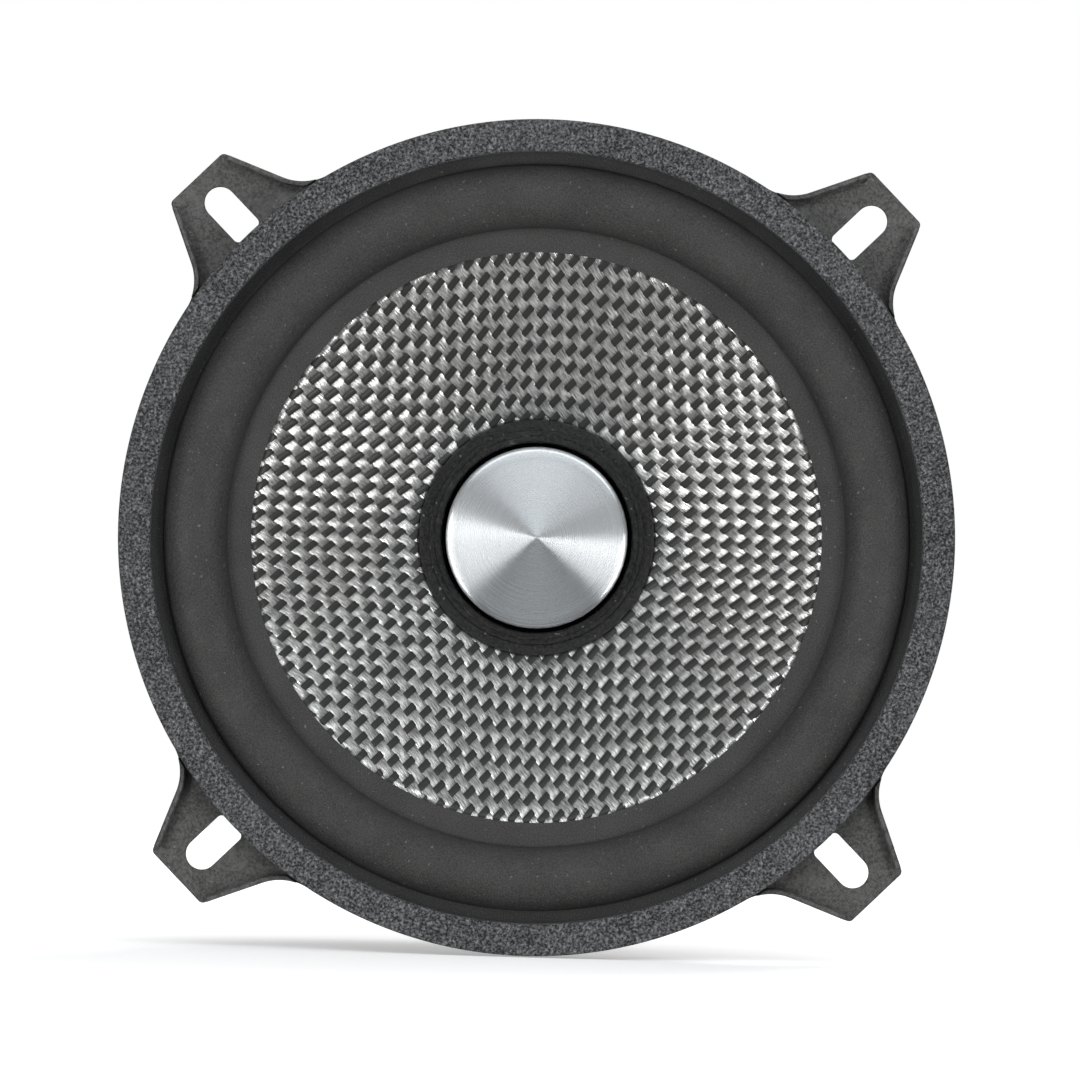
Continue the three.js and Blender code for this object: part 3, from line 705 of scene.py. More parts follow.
def new_finish(name, **values):
    """A material and its Principled shader, with its even values set on the shader."""
    material = bpy.data.materials.new(name)
    material.use_nodes = True
    tree = material.node_tree
    shader = tree.nodes["Principled BSDF"]
    for label, value in values.items():
        shader.inputs[label.replace("_", " ")].default_value = value
    return material, tree, shader.inputs


def object_spot(tree):
    return add(tree, "TexCoord").outputs["Object"]


def use(tree, group, **inputs):
    """Places a node group with its own values and gives its outputs."""
    return add(tree, "Group", inputs, node_tree=group).outputs


def relief(tree, height, depth):
    """A bump of a depth in metres from a height between nought and one."""
    return add(tree, "Bump", {"Height": height, "Distance": depth, "Strength": 1.0}).outputs[0]


def dress(piece, material):
    piece.data.materials.clear()
    piece.data.materials.append(material)


def finish_piece(piece, material, body, node):
    dress(piece, material)
    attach(piece, body)
    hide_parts(node)


def floor_paper():
    material, tree, shader = new_finish("floor_paper", Roughness=0.9, Emission_Strength=0.35)
    spot = object_spot(tree)
    tone = mix(tree, noise(tree, spot, 3.0), grey(0.93), grey(0.96))
    join(tree, [(tone, shader["Base Color"]), (tone, shader["Emission Color"])])
    return material


def grainy_finish(name, scale, dark, light, patches, depth, wear_and_highlight=None, dust=0.0, rough=None, **values):
    """Grains in low relief. Where asked: edges lightened by wear and by painted highlight
    (tone, amount), dust, and uneven roughness (noise scale, low, high)."""
    material, tree, shader = new_finish(name, **values)
    spot = object_spot(tree)
    grain = use(tree, GRAIN, Spot=spot, Scale=scale, Dark=dark, Light=light, Patches=patches)
    colour = grain["Color"]
    # Lighter sharp edges: real wear mixed with a painted highlight.
    if wear_and_highlight:
        colour = use(tree, WEAR_AND_HIGHLIGHT, Spot=spot, Color=colour, Worn=grey(wear_and_highlight[0]), Amount=wear_and_highlight[1])["Color"]
    if dust:
        colour = use(tree, DUST, Spot=spot, Color=colour, Amount=dust)["Color"]
    if rough:
        gloss = between(tree, noise(tree, spot, rough[0], 3), 0.3, 0.7, rough[1], rough[2])
        tree.links.new(gloss, shader["Roughness"])
    join(tree, [
        (colour, shader["Base Color"]),
        (relief(tree, grain["Height"], depth), shader["Normal"]),
    ])
    return material


def foam_finish():
    """Charcoal foam with a close pale grain."""
    return grainy_finish("gasket_foam", 2500.0, grey(0.002), (0.16, 0.163, 0.17, 1), 0.35, 0.0003,
                         dust=0.25, Roughness=0.85)


def rubber_finish():
    """Matt black rubber with a fine grain."""
    return grainy_finish("surround_rubber", 4200.0, (0.012, 0.0118, 0.0115, 1),
                         (0.037, 0.0362, 0.0355, 1), 0.7, 0.000012, dust=0.2,
                         rough=(220.0, 0.56, 0.72), Specular_IOR_Level=0.35)


def paint_finish():
    """Satin black paint on the steel, lighter at the edges: a little wear and a painted highlight."""
    return grainy_finish("black_paint", 2600.0, (0.008, 0.0078, 0.0075, 1),
                         (0.056, 0.054, 0.051, 1), 0.5, 0.000025, wear_and_highlight=(0.12, 0.35), dust=0.18,
                         rough=(400.0, 0.42, 0.56), Coat_Roughness=0.4, Coat_Weight=0.1)


def resin_finish():
    """Dark resin under the cloth."""
    return grainy_finish("cone_resin", 1500.0, grey(0.008), (0.02, 0.02, 0.019, 1), 0.3, 0.00003,
                         Roughness=0.45)


def yarn_finish(name, dark, light, metallic, roughness, gloss, strands):
    """Glossy fibres along a yarn, sealed in clear resin."""
    material, tree, shader = new_finish(name, Metallic=metallic, Coat_Weight=gloss / 2,
                                        Coat_Roughness=0.25, Specular_IOR_Level=gloss)
    along = add(tree, "UVMap", uv_map="UVMap").outputs[0]
    # The dip share, from which the fibres group paints shade into the yarn's colour.
    dip = add(tree, "Attribute", attribute_name="dip").outputs["Fac"]
    fibres = use(tree, FIBRES, Along=along, Dark=dark, Light=light, Strands=strands, Dip=dip)
    rough = between(tree, fibres["Height"], 0.3, 0.7, roughness + 0.08, roughness - 0.08)
    join(tree, [
        (fibres["Color"], shader["Base Color"]),
        (rough, shader["Roughness"]),
        (relief(tree, fibres["Height"], 0.00005), shader["Normal"]),
    ])
    return material


def collar_finish():
    """Black moulded plastic, faintly ringed, a little scuffed, and lighter at its edges by wear and a
    painted highlight.
    """
    material, tree, shader = new_finish("collar_plastic", Specular_IOR_Level=0.22)
    spot = object_spot(tree)
    ring = use(tree, RINGS, Spot=spot, Lines=1800.0)
    grain = use(tree, GRAIN, Spot=spot, Scale=2200.0, Dark=grey(0.002), Light=grey(0.017),
                Patches=0.3)
    wear_and_highlight = use(tree, WEAR_AND_HIGHLIGHT, Spot=spot, Color=grain["Color"], Worn=grey(0.12), Amount=0.6)
    dusty = use(tree, DUST, Spot=spot, Color=wear_and_highlight["Color"], Amount=0.4)
    height = calc(tree, "ADD", ring["Height"], grain["Height"])
    join(tree, [
        (dusty["Color"], shader["Base Color"]),
        (between(tree, ring["Height"], 0.3, 0.7, 0.36, 0.5), shader["Roughness"]),
        (relief(tree, height, 0.00008), shader["Normal"]),
    ])
    return material


def turned_aluminium_finish():
    """Bright aluminium faced on a lathe: its gloss is drawn out across the tool's rings."""
    material, tree, shader = new_finish("turned_aluminium", Metallic=1.0, Anisotropic=0.97)
    spot = object_spot(tree)
    ring = use(tree, RINGS, Spot=spot, Lines=12000.0, Drift=0.0)
    tone = mix(tree, between(tree, ring["Height"], 0.3, 0.7), (0.6, 0.63, 0.65, 1),
               (0.72, 0.74, 0.76, 1))
    outwards = add(tree, "Tangent", direction_type="UV_MAP", uv_map="UVMap").outputs[0]
    join(tree, [
        (tone, shader["Base Color"]),
        (between(tree, ring["Height"], 0.3, 0.7, 0.25, 0.3), shader["Roughness"]),
        (relief(tree, ring["Height"], 0.0000015), shader["Normal"]),
        (outwards, shader["Tangent"]),
    ])
    return material


def metal_finish(name, dark, light, roughness, lines):
    """Bare or plated metal with turned rings, cloudy patches, and edges lightened by wear and a
    painted highlight.
    """
    material, tree, shader = new_finish(name, Metallic=1.0)
    spot = object_spot(tree)
    ring = use(tree, RINGS, Spot=spot, Lines=lines, Drift=0.5)
    cloud = noise(tree, spot, 130.0, 4)
    tone = mix(tree, between(tree, cloud, 0.3, 0.7), dark, light)
    wear_and_highlight = use(tree, WEAR_AND_HIGHLIGHT, Spot=spot, Color=tone, Worn=grey(0.8), Amount=0.5)
    join(tree, [
        (wear_and_highlight["Color"], shader["Base Color"]),
        (between(tree, cloud, 0.3, 0.7, roughness - 0.05, roughness + 0.07), shader["Roughness"]),
        (relief(tree, ring["Height"], 0.000015), shader["Normal"]),
    ])
    return material


def ferrite_finish():
    """Fired ceramic magnet: dark grey with fine pores, its edges lightened by chips and by a painted
    highlight.
    """
    return grainy_finish("ferrite", 1800.0, (0.02, 0.02, 0.022, 1), (0.06, 0.06, 0.064, 1), 0.8,
                         0.00004, wear_and_highlight=(0.16, 0.5), dust=0.35, Roughness=0.6)


def spider_finish():
    """Woven cotton stiffened with resin: threads up and across, over and under."""
    material, tree, shader = new_finish("spider_cloth", Roughness=0.85)
    spot = object_spot(tree)
    apart = add(tree, "SeparateXYZ", {0: spot}).outputs
    threads = 9000.0
    over = calc(tree, "SINE", calc(tree, "MULTIPLY", apart["X"], threads))
    under = calc(tree, "SINE", calc(tree, "MULTIPLY", apart["Z"], threads))
    cloth = between(tree, calc(tree, "MULTIPLY", over, under), -1.0, 1.0)
    tone = mix(tree, cloth, (0.30, 0.17, 0.045, 1), (0.62, 0.42, 0.14, 1))
    dusty = use(tree, DUST, Spot=spot, Color=tone, Amount=0.2)
    join(tree, [
        (dusty["Color"], shader["Base Color"]),
        (relief(tree, cloth, 0.00008), shader["Normal"]),
    ])
    return material


def copper_finish():
    """Lacquered copper wire."""
    material, tree, shader = new_finish("copper", Metallic=1.0, Coat_Weight=0.6)
    spot = object_spot(tree)
    cloud = noise(tree, spot, 900.0, 3)
    tone = mix(tree, cloud, (0.42, 0.13, 0.045, 1), (0.78, 0.33, 0.16, 1))
    join(tree, [
        (tone, shader["Base Color"]),
        (between(tree, cloud, 0.3, 0.7, 0.25, 0.4), shader["Roughness"]),
    ])
    return material


def braid_finish():
    """Tinsel lead: tinned copper foil braided over thread."""
    material, tree, shader = new_finish("braid", Metallic=0.9)
    along = add(tree, "UVMap", uv_map="UVMap").outputs[0]
    fibres = use(tree, FIBRES, Along=along, Dark=(0.35, 0.2, 0.12, 1),
                 Light=(0.8, 0.6, 0.42, 1), Strands=10.0, Length=3.0)
    join(tree, [
        (fibres["Color"], shader["Base Color"]),
        (between(tree, fibres["Height"], 0.3, 0.7, 0.3, 0.5), shader["Roughness"]),
    ])
    return material


def laminate_finish():
    """Brown paper laminate with a fine grain."""
    return grainy_finish("board_laminate", 1300.0, (0.12, 0.055, 0.022, 1), (0.24, 0.125, 0.055, 1),
                         0.6, 0.00002, Roughness=0.5)


def glue_finish():
    """Glossy black glue, lumpy as it set."""
    return grainy_finish("black_glue", 900.0, grey(0.008), grey(0.018), 0.5, 0.00008, Roughness=0.3)


# ---------------------------------------------------------------- front


def make_gasket():
    edge = 0.5
    gasket = turned(
        "foam_gasket", ring_section(gasket_inner, gasket_outer, gasket_rear, gasket_front, edge), 256
    )
    finish_piece(gasket, foam_finish(), "frame", "gasket")


def make_surround():
    """Two flats joined by half an ellipse, as a sheet of even thickness."""
    middle = surround_rear + rubber / 2
    angle = np.linspace(0, math.pi, 49)
    roll = np.stack(
        [
            (roll_outer + roll_inner) / 2 + (roll_outer - roll_inner) / 2 * np.cos(angle),
            middle + roll_height * np.sin(angle),
        ],
        axis=-1,
    )
    line = np.concatenate([[[surround_outer, middle]], roll, [[surround_inner, middle]]])
    surround = turned("rubber_surround", sheet_section(line, rubber / 2, rubber / 2), 256)
    stretch(surround, smooth((roll_outer - radii(surround)) / (roll_outer - roll_inner)))
    finish_piece(surround, rubber_finish(), "frame", "surround")


def make_cone_shell():
    corners = [
        (cone_outer, rim_middle, 0),
        (cone_land, rim_middle, 2),
        (neck_middle, neck_front, 1),
        (neck_middle, cone_rear, 0),
    ]
    line = rounded(corners, 6, closed=False)
    shell = turned("cone_shell", sheet_section(line, cone_wall / 2, 0), 192)
    finish_piece(shell, resin_finish(), "cone_assembly", "cone")


def drape(along, across):
    """From the flat cloth to the cone: radius rho(0.921 - 0.051 cos 4a), angle a + 0.037 sin 4a.

    The cloth is woven flat and drawn over the cone, so its yarns bunch between their own two
    directions and open along them.
    """
    flat = np.hypot(along, across)
    angle = np.arctan2(across, along)
    radius = flat * (0.921 - 0.051 * np.cos(4 * angle))
    return radius, angle + 0.037 * np.sin(4 * angle) + black_angle


def on_cone(along, across, height):
    """A point of the draped cloth, raised above the cloth's middle along the cone's normal."""
    radius, angle = drape(along, across)
    tilt = np.where(radius < cone_land, cone_angle, 0)
    rise = height + cloth_middle
    out = radius - rise * np.sin(tilt)
    lift = cone_height(radius) + rise * np.cos(tilt)
    return np.stack([out * np.cos(angle), out * np.sin(angle), lift], axis=-1)


# A yarn's section is a flat lens, given as (share of the half width, share of the half height).
SILVER_SECTION = ((-1, 0), (-0.8, 0.8), (-0.3, 1), (0.3, 1), (0.8, 0.8), (1, 0), (0, -1))
BLACK_SECTION = ((-1, 0), (-0.65, 1), (0.65, 1), (1, 0), (0.5, -1), (-0.5, -1))


def make_yarns(name, black, section, half_width, thickness, rises, steps, material):
    """One set of yarns: a section carried along level + wave tanh(sharp (cos(pi s/pitch) + bias)).

    The cosine is 1 where black passes over silver, and turns about from each yarn to the next.
    A yarn's section shrinks to a point where the cloth ends.
    """
    count = math.ceil(cloth_outer / 0.87 / pitch)
    yarn = np.arange(-count, count + 1)
    along = np.arange(-count * steps, count * steps + 1) * pitch / steps
    edge, lens = np.array(section, float).T
    over = np.cos(math.pi * along / pitch)[None, :] * (-1.0) ** yarn[:, None]
    level, wave, sharp, bias = rises
    share = np.tanh(sharp * (over + bias))
    rise = level + wave * share
    middle = np.broadcast_to(yarn[:, None] * pitch, rise.shape)
    length = np.broadcast_to(along[None, :], rise.shape)
    radius = drape(*((length, middle) if black else (middle, length)))[0]
    inside = (radius > cloth_inner) & (radius < cloth_outer)
    size = inside[:, :, None].astype(float)
    side = middle[:, :, None] + size * half_width * edge
    height = rise[:, :, None] + size * thickness / 2 * lens
    length = np.broadcast_to(length[:, :, None], side.shape)
    points = on_cone(length, side, height) if black else on_cone(side, length, height)
    across = np.broadcast_to(edge / 2, side.shape)
    uv = np.stack([length + 37.0 * yarn[:, None, None], across], axis=-1)
    # The wave's share at each point, which the finish turns into painted shade.
    dip = smooth(np.broadcast_to(share[:, :, None], side.shape))
    rows, columns = len(along), len(edge)
    one = quads(rows, columns, False, True)
    faces = (one[None] + (np.arange(len(yarn)) * rows * columns)[:, None, None]).reshape(-1, 4)
    faces = faces[inside.ravel()[faces // columns].any(axis=1)]
    if not black:
        faces = faces[:, ::-1]
    used, numbers = np.unique(faces, return_inverse=True)
    piece = add_piece(name, points.reshape(-1, 3)[used], numbers.reshape(-1, 4),
                      uv=uv.reshape(-1, 2)[used], values={"dip": dip.ravel()[used]}, crease=80)
    finish_piece(piece, material, "cone_assembly", "cone")


def make_cloth():
    silver = yarn_finish(
        "silver_yarn", (0.10, 0.10, 0.098, 1), (0.82, 0.82, 0.80, 1), 0.75, 0.3, 0.5, 14.0
    )
    black = yarn_finish("black_yarn", grey(0.003), (0.014, 0.0135, 0.013, 1), 0.0, 0.5, 0.25, 8.0)
    make_yarns("silver_weft", False, SILVER_SECTION, 0.49 * pitch, 0.16,
               (0.03, -0.12, 1.0, 0.3), 8, silver)
    make_yarns("black_warp", True, BLACK_SECTION, 0.28 * pitch, 0.14,
               (-0.01, 0.17, 3.0, 0.56), 8, black)


def make_collar():
    """A ring with a raised inner step and a shallow outer slope that follows the cone."""
    step = collar_inner + 1.8
    lift = 0.45
    section = rounded(
        [
            (collar_inner, collar_front - 0.9, 0.1),
            (collar_inner + 0.9, collar_front - 0.9, 0.1),
            (collar_outer, cone_height(collar_outer) + 0.72, 0.15),
            (collar_outer, cone_height(collar_outer) + 1.1, 0.2),
            (step + 0.1, collar_front - lift, 0.15),
            (step, collar_front, 0.2),
            (step - 0.7, collar_front, 0.08),
            (step - 0.8, collar_front - 0.14, 0.05),
            (step - 0.9, collar_front, 0.08),
            (collar_inner, collar_front, 0.25),
        ],
        4,
    )
    collar = turned("neck_collar", section, 192)
    finish_piece(collar, collar_finish(), "cone_assembly", "cone_collar")


def make_plug():
    """A plain cylinder with a rounded rim and a shallow cone for its face."""
    rim = plug_front - plug_crown
    section = np.concatenate(
        [
            rounded([(0, plug_rear, 0), (plug_outer, plug_rear, 0.3)], closed=False),
            rounded([(plug_outer, plug_rear, 0.0), (plug_outer, rim, 0.8), (0, plug_front, 0)],
                    8, closed=False),
        ]
    )
    face = np.linspace(plug_outer - 1.2, 0, 24)[1:-1]
    crown = np.stack([face, plug_front - plug_crown * face / (plug_outer - 0.4)], axis=-1)
    section = np.concatenate([section[:-1], crown, section[-1:]])
    plug = turned("turned_plug", section, 256, crease=50)
    finish_piece(plug, turned_aluminium_finish(), "frame", "phase_plug")


# ---------------------------------------------------------------- coil, spider and motor


def make_former():
    section = ring_section(former_inner, former_outer, former_rear, former_front, 0.08)
    former = turned("coil_former", section, 160)
    bare = metal_finish("former_aluminium", grey(0.6), grey(0.8), 0.35, 900.0)
    finish_piece(former, bare, "cone_assembly", "voice_coil_former")


def make_winding():
    """Close turns of round wire: the outside is a row of half circles."""
    turns = 40
    wire = (winding_front - winding_rear) / turns
    angle = np.linspace(0, math.pi, 7)[:-1]
    bump = np.stack([wire / 2 * np.sin(angle), wire / 2 * (1 - np.cos(angle))], axis=-1)
    start = np.arange(turns)[:, None] * wire
    outside = np.stack(
        [
            np.broadcast_to(winding_outer - wire / 2 + bump[:, 0], (turns, 6)),
            winding_rear + start + bump[:, 1],
        ],
        axis=-1,
    ).reshape(-1, 2)
    inside = [(winding_inner, winding_front), (winding_inner, winding_rear)]
    winding = turned("coil_winding", np.concatenate([outside, inside]), 128, crease=60)
    finish_piece(winding, copper_finish(), "cone_assembly", "voice_coil_winding")


def make_spider():
    """Cloth between two flats, its height one sine wave for each of four corrugations."""
    middle = (spider_rear + spider_front) / 2
    wave_outer, wave_inner = spider_outer - 4, spider_inner + 2
    share = np.linspace(0, 1, 97)
    wave = np.stack(
        [wave_outer + (wave_inner - wave_outer) * share,
         middle + 1.3 * np.sin(4 * TURN * share)],
        axis=-1,
    )
    line = np.concatenate([[[spider_outer, middle]], wave, [[spider_inner, middle]]])
    spider = turned("centring_spider", sheet_section(line, spider_cloth / 2, spider_cloth / 2), 192)
    stretch(spider, smooth((wave_outer - radii(spider)) / (wave_outer - wave_inner)))
    finish_piece(spider, spider_finish(), "frame", "spider")


def make_motor():
    zinc = metal_finish("plated_steel", (0.45, 0.46, 0.47, 1), (0.56, 0.57, 0.58, 1), 0.36, 1800.0)
    magnet = turned(
        "ring_magnet", ring_section(magnet_inner, magnet_outer, magnet_rear, magnet_front, 0.9), 192
    )
    finish_piece(magnet, ferrite_finish(), "frame", "magnet")
    back_front = magnet_rear - glue_gap
    pole = former_inner - 0.4
    seat = yoke_rear + socket_depth
    section = rounded(
        [
            (yoke_inner, yoke_front, 0.3),
            (yoke_inner, seat, 0.2),
            (recess_radius, seat, 0.3),
            (recess_radius, yoke_rear, 0.4),
            (yoke_outer, yoke_rear, 0.6),
            (yoke_outer, back_front, 0.5),
            (pole, back_front, 0.4),
            (pole, yoke_front, 0.5),
        ]
    )
    yoke = turned("back_plate_and_pole", section, 192)
    finish_piece(yoke, zinc, "frame", "pole_yoke")
    return zinc


# ---------------------------------------------------------------- basket


def ear_side():
    """One side of an ear along +x, and its root fillet: a line tangent to two arcs."""
    normal = np.array([math.sin(ear_flare), math.cos(ear_flare)])
    away = ear_tip * normal[0] + ear_tip_half * normal[1]
    centre = normal * (away + ear_fillet)
    reach = math.sqrt((frame_radius + ear_fillet) ** 2 - centre @ centre)
    centre = centre + reach * np.array([normal[1], -normal[0]])
    start = math.atan2(normal[1], normal[0]) - math.pi
    end = math.atan2(centre[1], centre[0]) - math.pi
    angle = np.linspace(start, end, 15)
    root = centre + ear_fillet * np.stack([np.cos(angle), np.sin(angle)], axis=-1)
    corner_x = ear_tip - ear_corner
    corner_y = (away - ear_corner - corner_x * normal[0]) / normal[1]
    angle = np.linspace(0, start + math.pi, 6)
    corner = ear_corner * np.stack([np.cos(angle), np.sin(angle)], axis=-1)
    corner = corner + [corner_x, corner_y]
    line_start = np.array([[corner_x, (away - corner_x * normal[0]) / normal[1]]])
    return corner, root, line_start, math.atan2(centre[1], centre[0])


def ear_slot():
    """A slot along +x, round at its outer end and flat with round corners at its inner end."""
    half = slot_width / 2
    inner = slot_end - slot_length
    angle = np.linspace(-math.pi / 2, math.pi / 2, 17)
    end = half * np.stack([np.cos(angle), np.sin(angle)], axis=-1) + [slot_end - half, 0]
    corners = [(slot_end - half, half, 0), (inner, half, slot_corner),
               (inner, -half, slot_corner), (slot_end - half, -half, 0)]
    return np.concatenate([end, rounded(corners, closed=False)[1:-1]])


def make_basket(paint):
    """One stamping: a turned sheet joined to the eared flange, with its openings cut out."""
    corner, root, line_start, root_angle = ear_side()
    ear = np.concatenate([corner, root])
    ear = np.concatenate([ear[::-1] * [1, -1], ear])
    rim_angle = np.linspace(root_angle, TURN / 4 - root_angle, 40)[1:-1]
    rim = frame_radius * np.stack([np.cos(rim_angle), np.sin(rim_angle)], axis=-1)
    outline = np.concatenate(
        [turned_by(np.concatenate([ear, rim]), angle) for angle in quarters(TURN / 8)]
    )
    slots = [turned_by(ear_slot(), angle) for angle in quarters(TURN / 8)]
    inner = circle(skirt_radius + 2, steps=160)
    flange = plate("flange", [outline, inner, *slots], 0, sheet, 0.12)

    side = np.concatenate([line_start, root])
    band = np.concatenate([side, beside_line(side, lip_thickness)[::-1]])
    outlines = [
        turned_by(band * [1, mirror], angle) for angle in quarters(TURN / 8) for mirror in (1, -1)
    ]
    lips = plate("lips", outlines, 0.3, lip_top, 0.22)
    clearance = gather("clearance", [prism(circle(frame_radius + 0.3, steps=160), sheet, 5)])
    lips = combine(lips, cut=clearance)

    line = rounded(
        [
            (skirt_radius + 4, sheet / 2, 0),
            (skirt_radius, sheet / 2, 1.2),
            (*wall_top, 2.4),
            (*wall_foot, 1.2),
            (ledge_inner, ledge_middle, 1.2),
            (seat_radius, seat_middle, 1.2),
            (seat_hole, seat_middle, 0),
        ],
        4,
        closed=False,
    )
    half = sheet / 2 - 0.02  # a little inside the flange's two faces
    basket = turned("stamped_basket", sheet_section(line, half, half), 160)
    basket = combine(basket, join=flange)
    basket = combine(basket, join=lips)
    basket = combine(basket, cut=gather("openings", basket_openings()))
    finish_piece(basket, paint, "frame", "basket")


def basket_openings():
    """Tools for four windows, the leads' slot, the rivet's hole and four screw holes."""
    margin, corner = 2.0, 3.5
    top, bottom = wall_top[1] - margin, wall_foot[1] + margin

    def half_width(height):
        share = (height - wall_foot[1]) / (wall_top[1] - wall_foot[1])
        radius = wall_foot[0] + share * (wall_top[0] - wall_foot[0])
        return radius * math.sin(window_half_angle)

    low, high = half_width(bottom), half_width(top)
    shape = rounded([(low, bottom, corner), (high, top, corner), (-high, top, corner),
                     (-low, bottom, corner)], 8)
    window, faces = prism(shape, winding_outer + 4.5, frame_radius)
    tools = [(round_axis(window[:, 2], window[:, 0], window[:, 1], angle), faces)
             for angle in quarters()]
    slot, faces = prism(obround(19, 4, 0, lead_slot_rise), -4, 4)
    tools.append((on_wall(slot), faces))
    hole, faces = prism(circle(rivet_hole, 0, -board_drop), -4, 4)
    tools.append((on_wall(hole), faces))
    for angle in quarters():
        x, y = screw_circle * math.cos(angle), screw_circle * math.sin(angle)
        tools.append(prism(circle(screw_hole, x, y), seat_middle - 2, seat_middle + 2))
    return tools


# ---------------------------------------------------------------- screws and terminals


def make_top_plate(zinc):
    plate_ring = turned(
        "front_plate", ring_section(plate_inner, plate_outer, plate_rear, plate_front, 0.5), 160
    )
    holes = [
        prism(circle(screw_hole, screw_circle * math.cos(angle), screw_circle * math.sin(angle)),
              plate_rear - 1, plate_front + 1)
        for angle in quarters()
    ]
    combine(plate_ring, cut=gather("holes", holes))
    finish_piece(plate_ring, zinc, "frame", "top_plate")


def screw_section(radius, length, head_radius, head_height, dome):
    """A shank from the seat forwards and a domed head behind it."""
    return rounded(
        [
            (0, -head_height, 0),
            (head_radius - dome, -head_height, 0.3),
            (head_radius, dome - head_height, 0.5),
            (head_radius, 0, 0.15),
            (radius, 0, 0),
            (radius, length - radius / 2, 0.3),
            (radius / 2, length, 0),
            (0, length, 0),
        ]
    )


def cross_outline(reach, half):
    """A plus sign of four equal arms, as one outline."""
    arm = [(reach, -half), (reach, half), (half, half)]
    return np.concatenate([turned_by(arm, angle) for angle in quarters(0.3)])


def make_screws(zinc):
    section = screw_section(1.8, 4.5, 3.3, 2.0, 0.5)
    seat = seat_middle + sheet / 2 + glue_gap
    for number, angle in enumerate(quarters()):
        spot = screw_circle * np.array([math.cos(angle), math.sin(angle), 0])

        def place(points):
            return points * [1, -1, -1] + spot + [0, 0, seat]

        screw = turned(f"pan_screw_{number + 1}", section, 40, place)
        points, faces = prism(cross_outline(2.0, 0.4), -2.5, -1.0)
        combine(screw, cut=gather("cross", [(place(points), faces)]))
        finish_piece(screw, zinc, "frame", f"plate_screw_{number + 1}")

    seat = yoke_rear + socket_depth
    section = screw_section(2.2, plug_rear + 10 - seat, 4.6, 3.0, 0.4)
    screw = turned("socket_screw", section, 64, lambda points: points + [0, 0, seat])
    points, faces = prism(circle(2.2, steps=6), -3.5, -1.2)
    combine(screw, cut=gather("socket", [(points + [0, 0, seat], faces)]))
    finish_piece(screw, zinc, "frame", "plug_screw")


def rivet_section(rear, front):
    """A shank between two domed heads."""
    return rounded(
        [
            (0, rear - 0.6, 0),
            (1.5, rear - 0.6, 0.4),
            (1.9, rear - 0.1, 0.1),
            (1, rear - 0.1, 0),
            (1, front + 0.1, 0),
            (1.9, front + 0.1, 0.1),
            (1.5, front + 0.6, 0.4),
            (0, front + 0.6, 0),
        ]
    )


def blade_outline(width):
    """A tongue with a tapered tip behind its rivet and a narrow tail ahead of it."""
    half, tail, shoulder = width / 2, 1.3, 2.5
    right = [
        (half - 0.8, -blade_reach, 0.2),
        (half, 1.6 - blade_reach, 0.4),
        (half, shoulder - 0.8, 0.5),
        (tail, shoulder, 0.2),
        (tail, blade_tail, 0.3),
    ]
    left = [(-x, y, radius) for x, y, radius in right[::-1]]
    return rounded(right + left, 4)


def make_terminals(zinc):
    width, height = board_size[0] / 2, board_size[1] / 2
    corners = [(width, -height, 1.5), (width, height, 1.5), (-width, height, 1.5),
               (-width, -height, 1.5)]
    board_outline = rounded(corners) - [0, board_drop]
    holes = [circle(rivet_hole, x, -board_drop) for x in (-blade_spacing / 2, 0, blade_spacing / 2)]
    board = plate("fibre_board", [board_outline, *holes], board_rear, board_front, 0.12, on_wall)
    finish_piece(board, laminate_finish(), "frame", "terminal_board")

    def riveted(x):
        return lambda points: on_wall(points + [x, -board_drop, 0])

    rivet = turned("centre_rivet", rivet_section(-sheet / 2, board_front), 40, riveted(0))
    finish_piece(rivet, zinc, "frame", "board_rivet")
    brass = metal_finish(
        "tinned_brass", (0.5, 0.48, 0.42, 1), (0.75, 0.73, 0.68, 1), 0.3, 600.0
    )
    for pole, blade_width in blade_widths.items():
        x = blade_sides[pole] * blade_spacing / 2
        outline = blade_outline(blade_width) + [x, -board_drop]
        tip = circle(0.9, x, blade_tail - blade_reach - board_drop)
        root = circle(rivet_hole, x, -board_drop)
        blade = plate(f"blade_{pole}", [outline, tip, root], blade_rear, blade_front, 0.12, on_wall)
        finish_piece(blade, brass, "frame", f"terminal_blade_{pole}")
        rivet = turned(f"rivet_{pole}", rivet_section(board_rear, blade_front), 40, riveted(x))
        finish_piece(rivet, zinc, "frame", f"blade_rivet_{pole}")


# ---------------------------------------------------------------- leads


def bead_place(side):
    """Centre of a glue bead, as radius, side and height: off the back of the cone."""
    away = cone_wall / 2 + glue_gap + bead_radius
    radius = bead_circle + away * math.sin(cone_angle)
    height = cone_height(bead_circle) - away * math.cos(cone_angle)
    return np.array([radius, side * bead_spacing / 2, height])


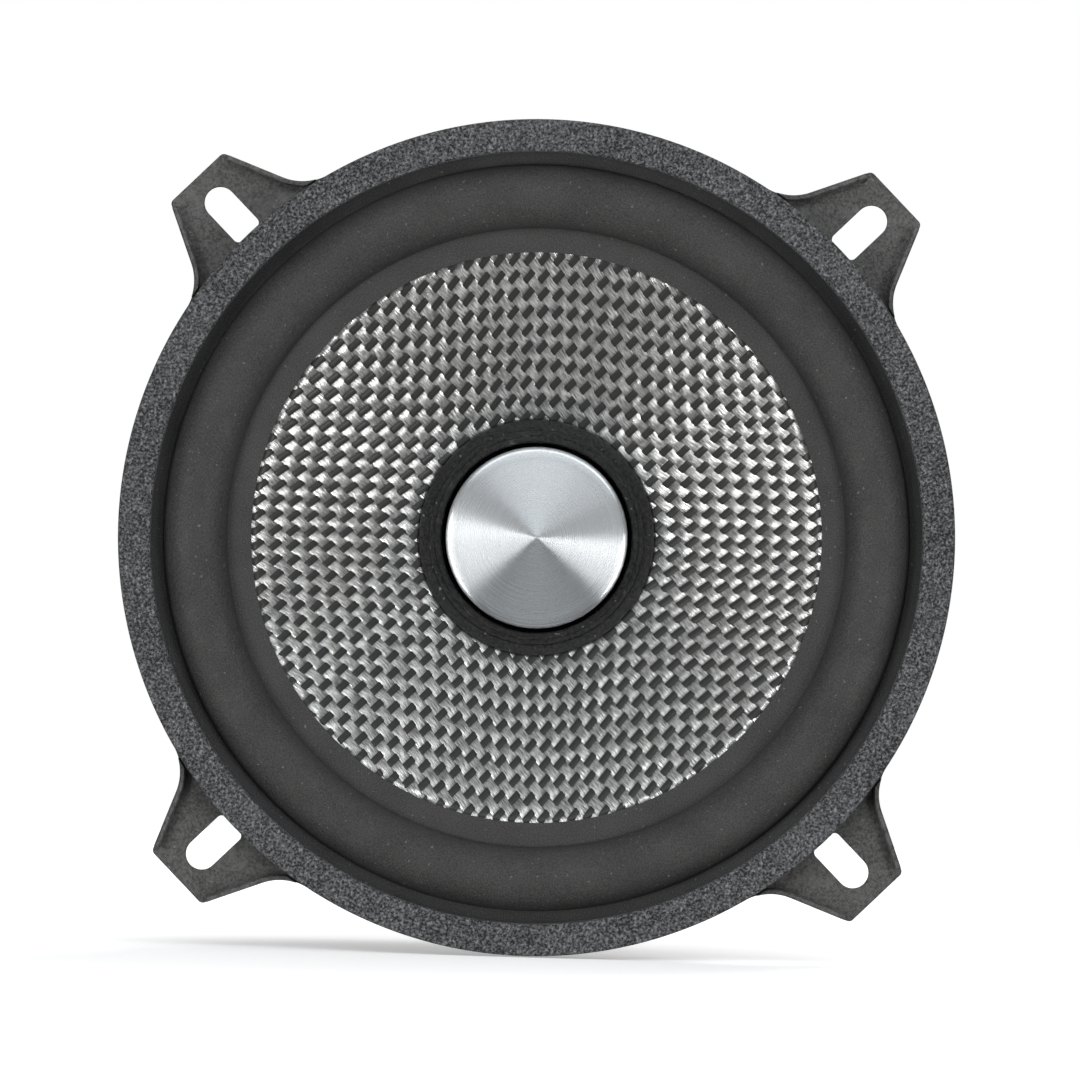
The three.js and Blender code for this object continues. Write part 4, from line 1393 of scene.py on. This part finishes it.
def lead_path(side, steps=200):
    """From a blade's tail through the wall's slot and in a slack bow to the bead.

    A centripetal Catmull-Rom curve: between two points each coordinate is a cubic, and the
    points are spaced in the curve's own time by the square roots of their distances.
    """
    across = side * blade_spacing / 2
    above = blade_front + glue_gap + lead_radius
    tail = blade_tail - board_drop
    outside = np.array(
        [
            [across, tail - 1.6, above],
            [across, tail + 0.6, above + 0.2],
            [across * 0.98, lead_slot_rise - 1.8, above - 0.2],
            [across * 0.93, lead_slot_rise - 0.3, above - 2],
            [across * 0.88, lead_slot_rise, 0.6],
            [across * 0.84, lead_slot_rise - 0.2, -1.6],
        ]
    )
    bead = bead_place(side)
    inlet = wall_centre + wall_forward * lead_slot_rise - wall_outward * 1.6
    inlet = np.array([inlet[0], across * 0.84, inlet[1]])
    share = np.array([0.18, 0.4, 0.62, 0.82])[:, None]
    bow = inlet + (bead - inlet) * share - [0, 0, 4.5] * np.sin(math.pi * share)
    end = bead + [bead_radius + 0.4, 0, -0.3]
    inside = np.concatenate([bow, [end]])
    points = np.concatenate([on_wall(outside), round_axis(*inside.T, terminal_angle)])
    return catmull_rom(points, steps)


def catmull_rom(points, steps):
    first, last = 2 * points[0] - points[1], 2 * points[-1] - points[-2]
    points = np.concatenate([[first], points, [last]])
    gap = np.linalg.norm(np.diff(points, axis=0), axis=1) ** 0.5
    spans = len(points) - 3
    time = np.linspace(0, spans, steps + 1)
    span = np.minimum(time.astype(int), spans - 1)
    share = (time - span)[:, None]
    before, start, end, after = (points[span + i] for i in range(4))
    gap_0, gap_1, gap_2 = (gap[span + i][:, None] for i in range(3))
    leave = (start - before) / gap_0 - (end - before) / (gap_0 + gap_1) + (end - start) / gap_1
    reach = (end - start) / gap_1 - (after - start) / (gap_1 + gap_2) + (after - end) / gap_2
    leave, reach = leave * gap_1, reach * gap_1
    cubic = 2 * start - 2 * end + leave + reach
    square = -3 * start + 3 * end - 2 * leave - reach
    return start + share * (leave + share * (square + share * cubic))


def make_leads():
    braid, glue = braid_finish(), glue_finish()
    for pole, side in blade_sides.items():
        path = lead_path(side)
        lead = swept(f"braided_lead_{pole}", path, lead_radius, 16, 3.2)
        along = lead.data.uv_layers["UVMap"].data
        length = np.empty(2 * len(along))
        along.foreach_get("uv", length)
        corners = np.empty(len(lead.data.loops), np.int32)
        lead.data.loops.foreach_get("vertex_index", corners)
        reach = np.zeros(len(lead.data.vertices))
        reach[corners] = length[0::2] / length[0::2].max()
        stretch(lead, smooth((reach - 0.38) / 0.55))
        finish_piece(lead, braid, "frame", f"tinsel_lead_{pole}")
        bead = turned(f"glue_bead_{pole}", bead_section(), 32, bead_spot(side))
        finish_piece(bead, glue, "cone_assembly", f"lead_bead_{pole}")


def bead_section():
    """A drop of glue: a circle that flares into a foot where it meets the cone."""
    angle = np.linspace(-math.pi / 2, 0.9, 14)
    drop = bead_radius * np.stack([np.cos(angle), np.sin(angle)], axis=-1)
    drop[0, 0] = 0
    foot = [(1.5, bead_radius + 0.1), (2.1, bead_radius + 0.45), (0, bead_radius + 0.45)]
    return np.concatenate([drop, foot])


def bead_spot(side):
    """Turns the drop's axis to the cone's normal and puts it on its circle."""
    cos, sin = math.cos(cone_angle), math.sin(cone_angle)

    def place(points):
        x, y, z = np.moveaxis(points, -1, 0)
        radius = x * cos - z * sin
        height = x * sin + z * cos
        spot = bead_place(side)
        return round_axis(spot[0] + radius, spot[1] + y, spot[2] + height, terminal_angle)

    return place


# ---------------------------------------------------------------- assembly

GRAIN = grain_group()
RINGS = rings_group()
WEAR_AND_HIGHLIGHT = wear_and_edge_highlight_group()
DUST = dust_group()
FIBRES = fibre_group()

make_camera()
make_lights()
make_world()
make_floor()

make_gasket()
make_surround()
make_cone_shell()
make_cloth()
make_collar()
make_plug()
make_former()
make_winding()
make_spider()
zinc = make_motor()

make_basket(paint_finish())
make_top_plate(zinc)
make_screws(zinc)
make_terminals(zinc)
make_leads()

bpy.context.scene.view_settings.view_transform = "Standard"
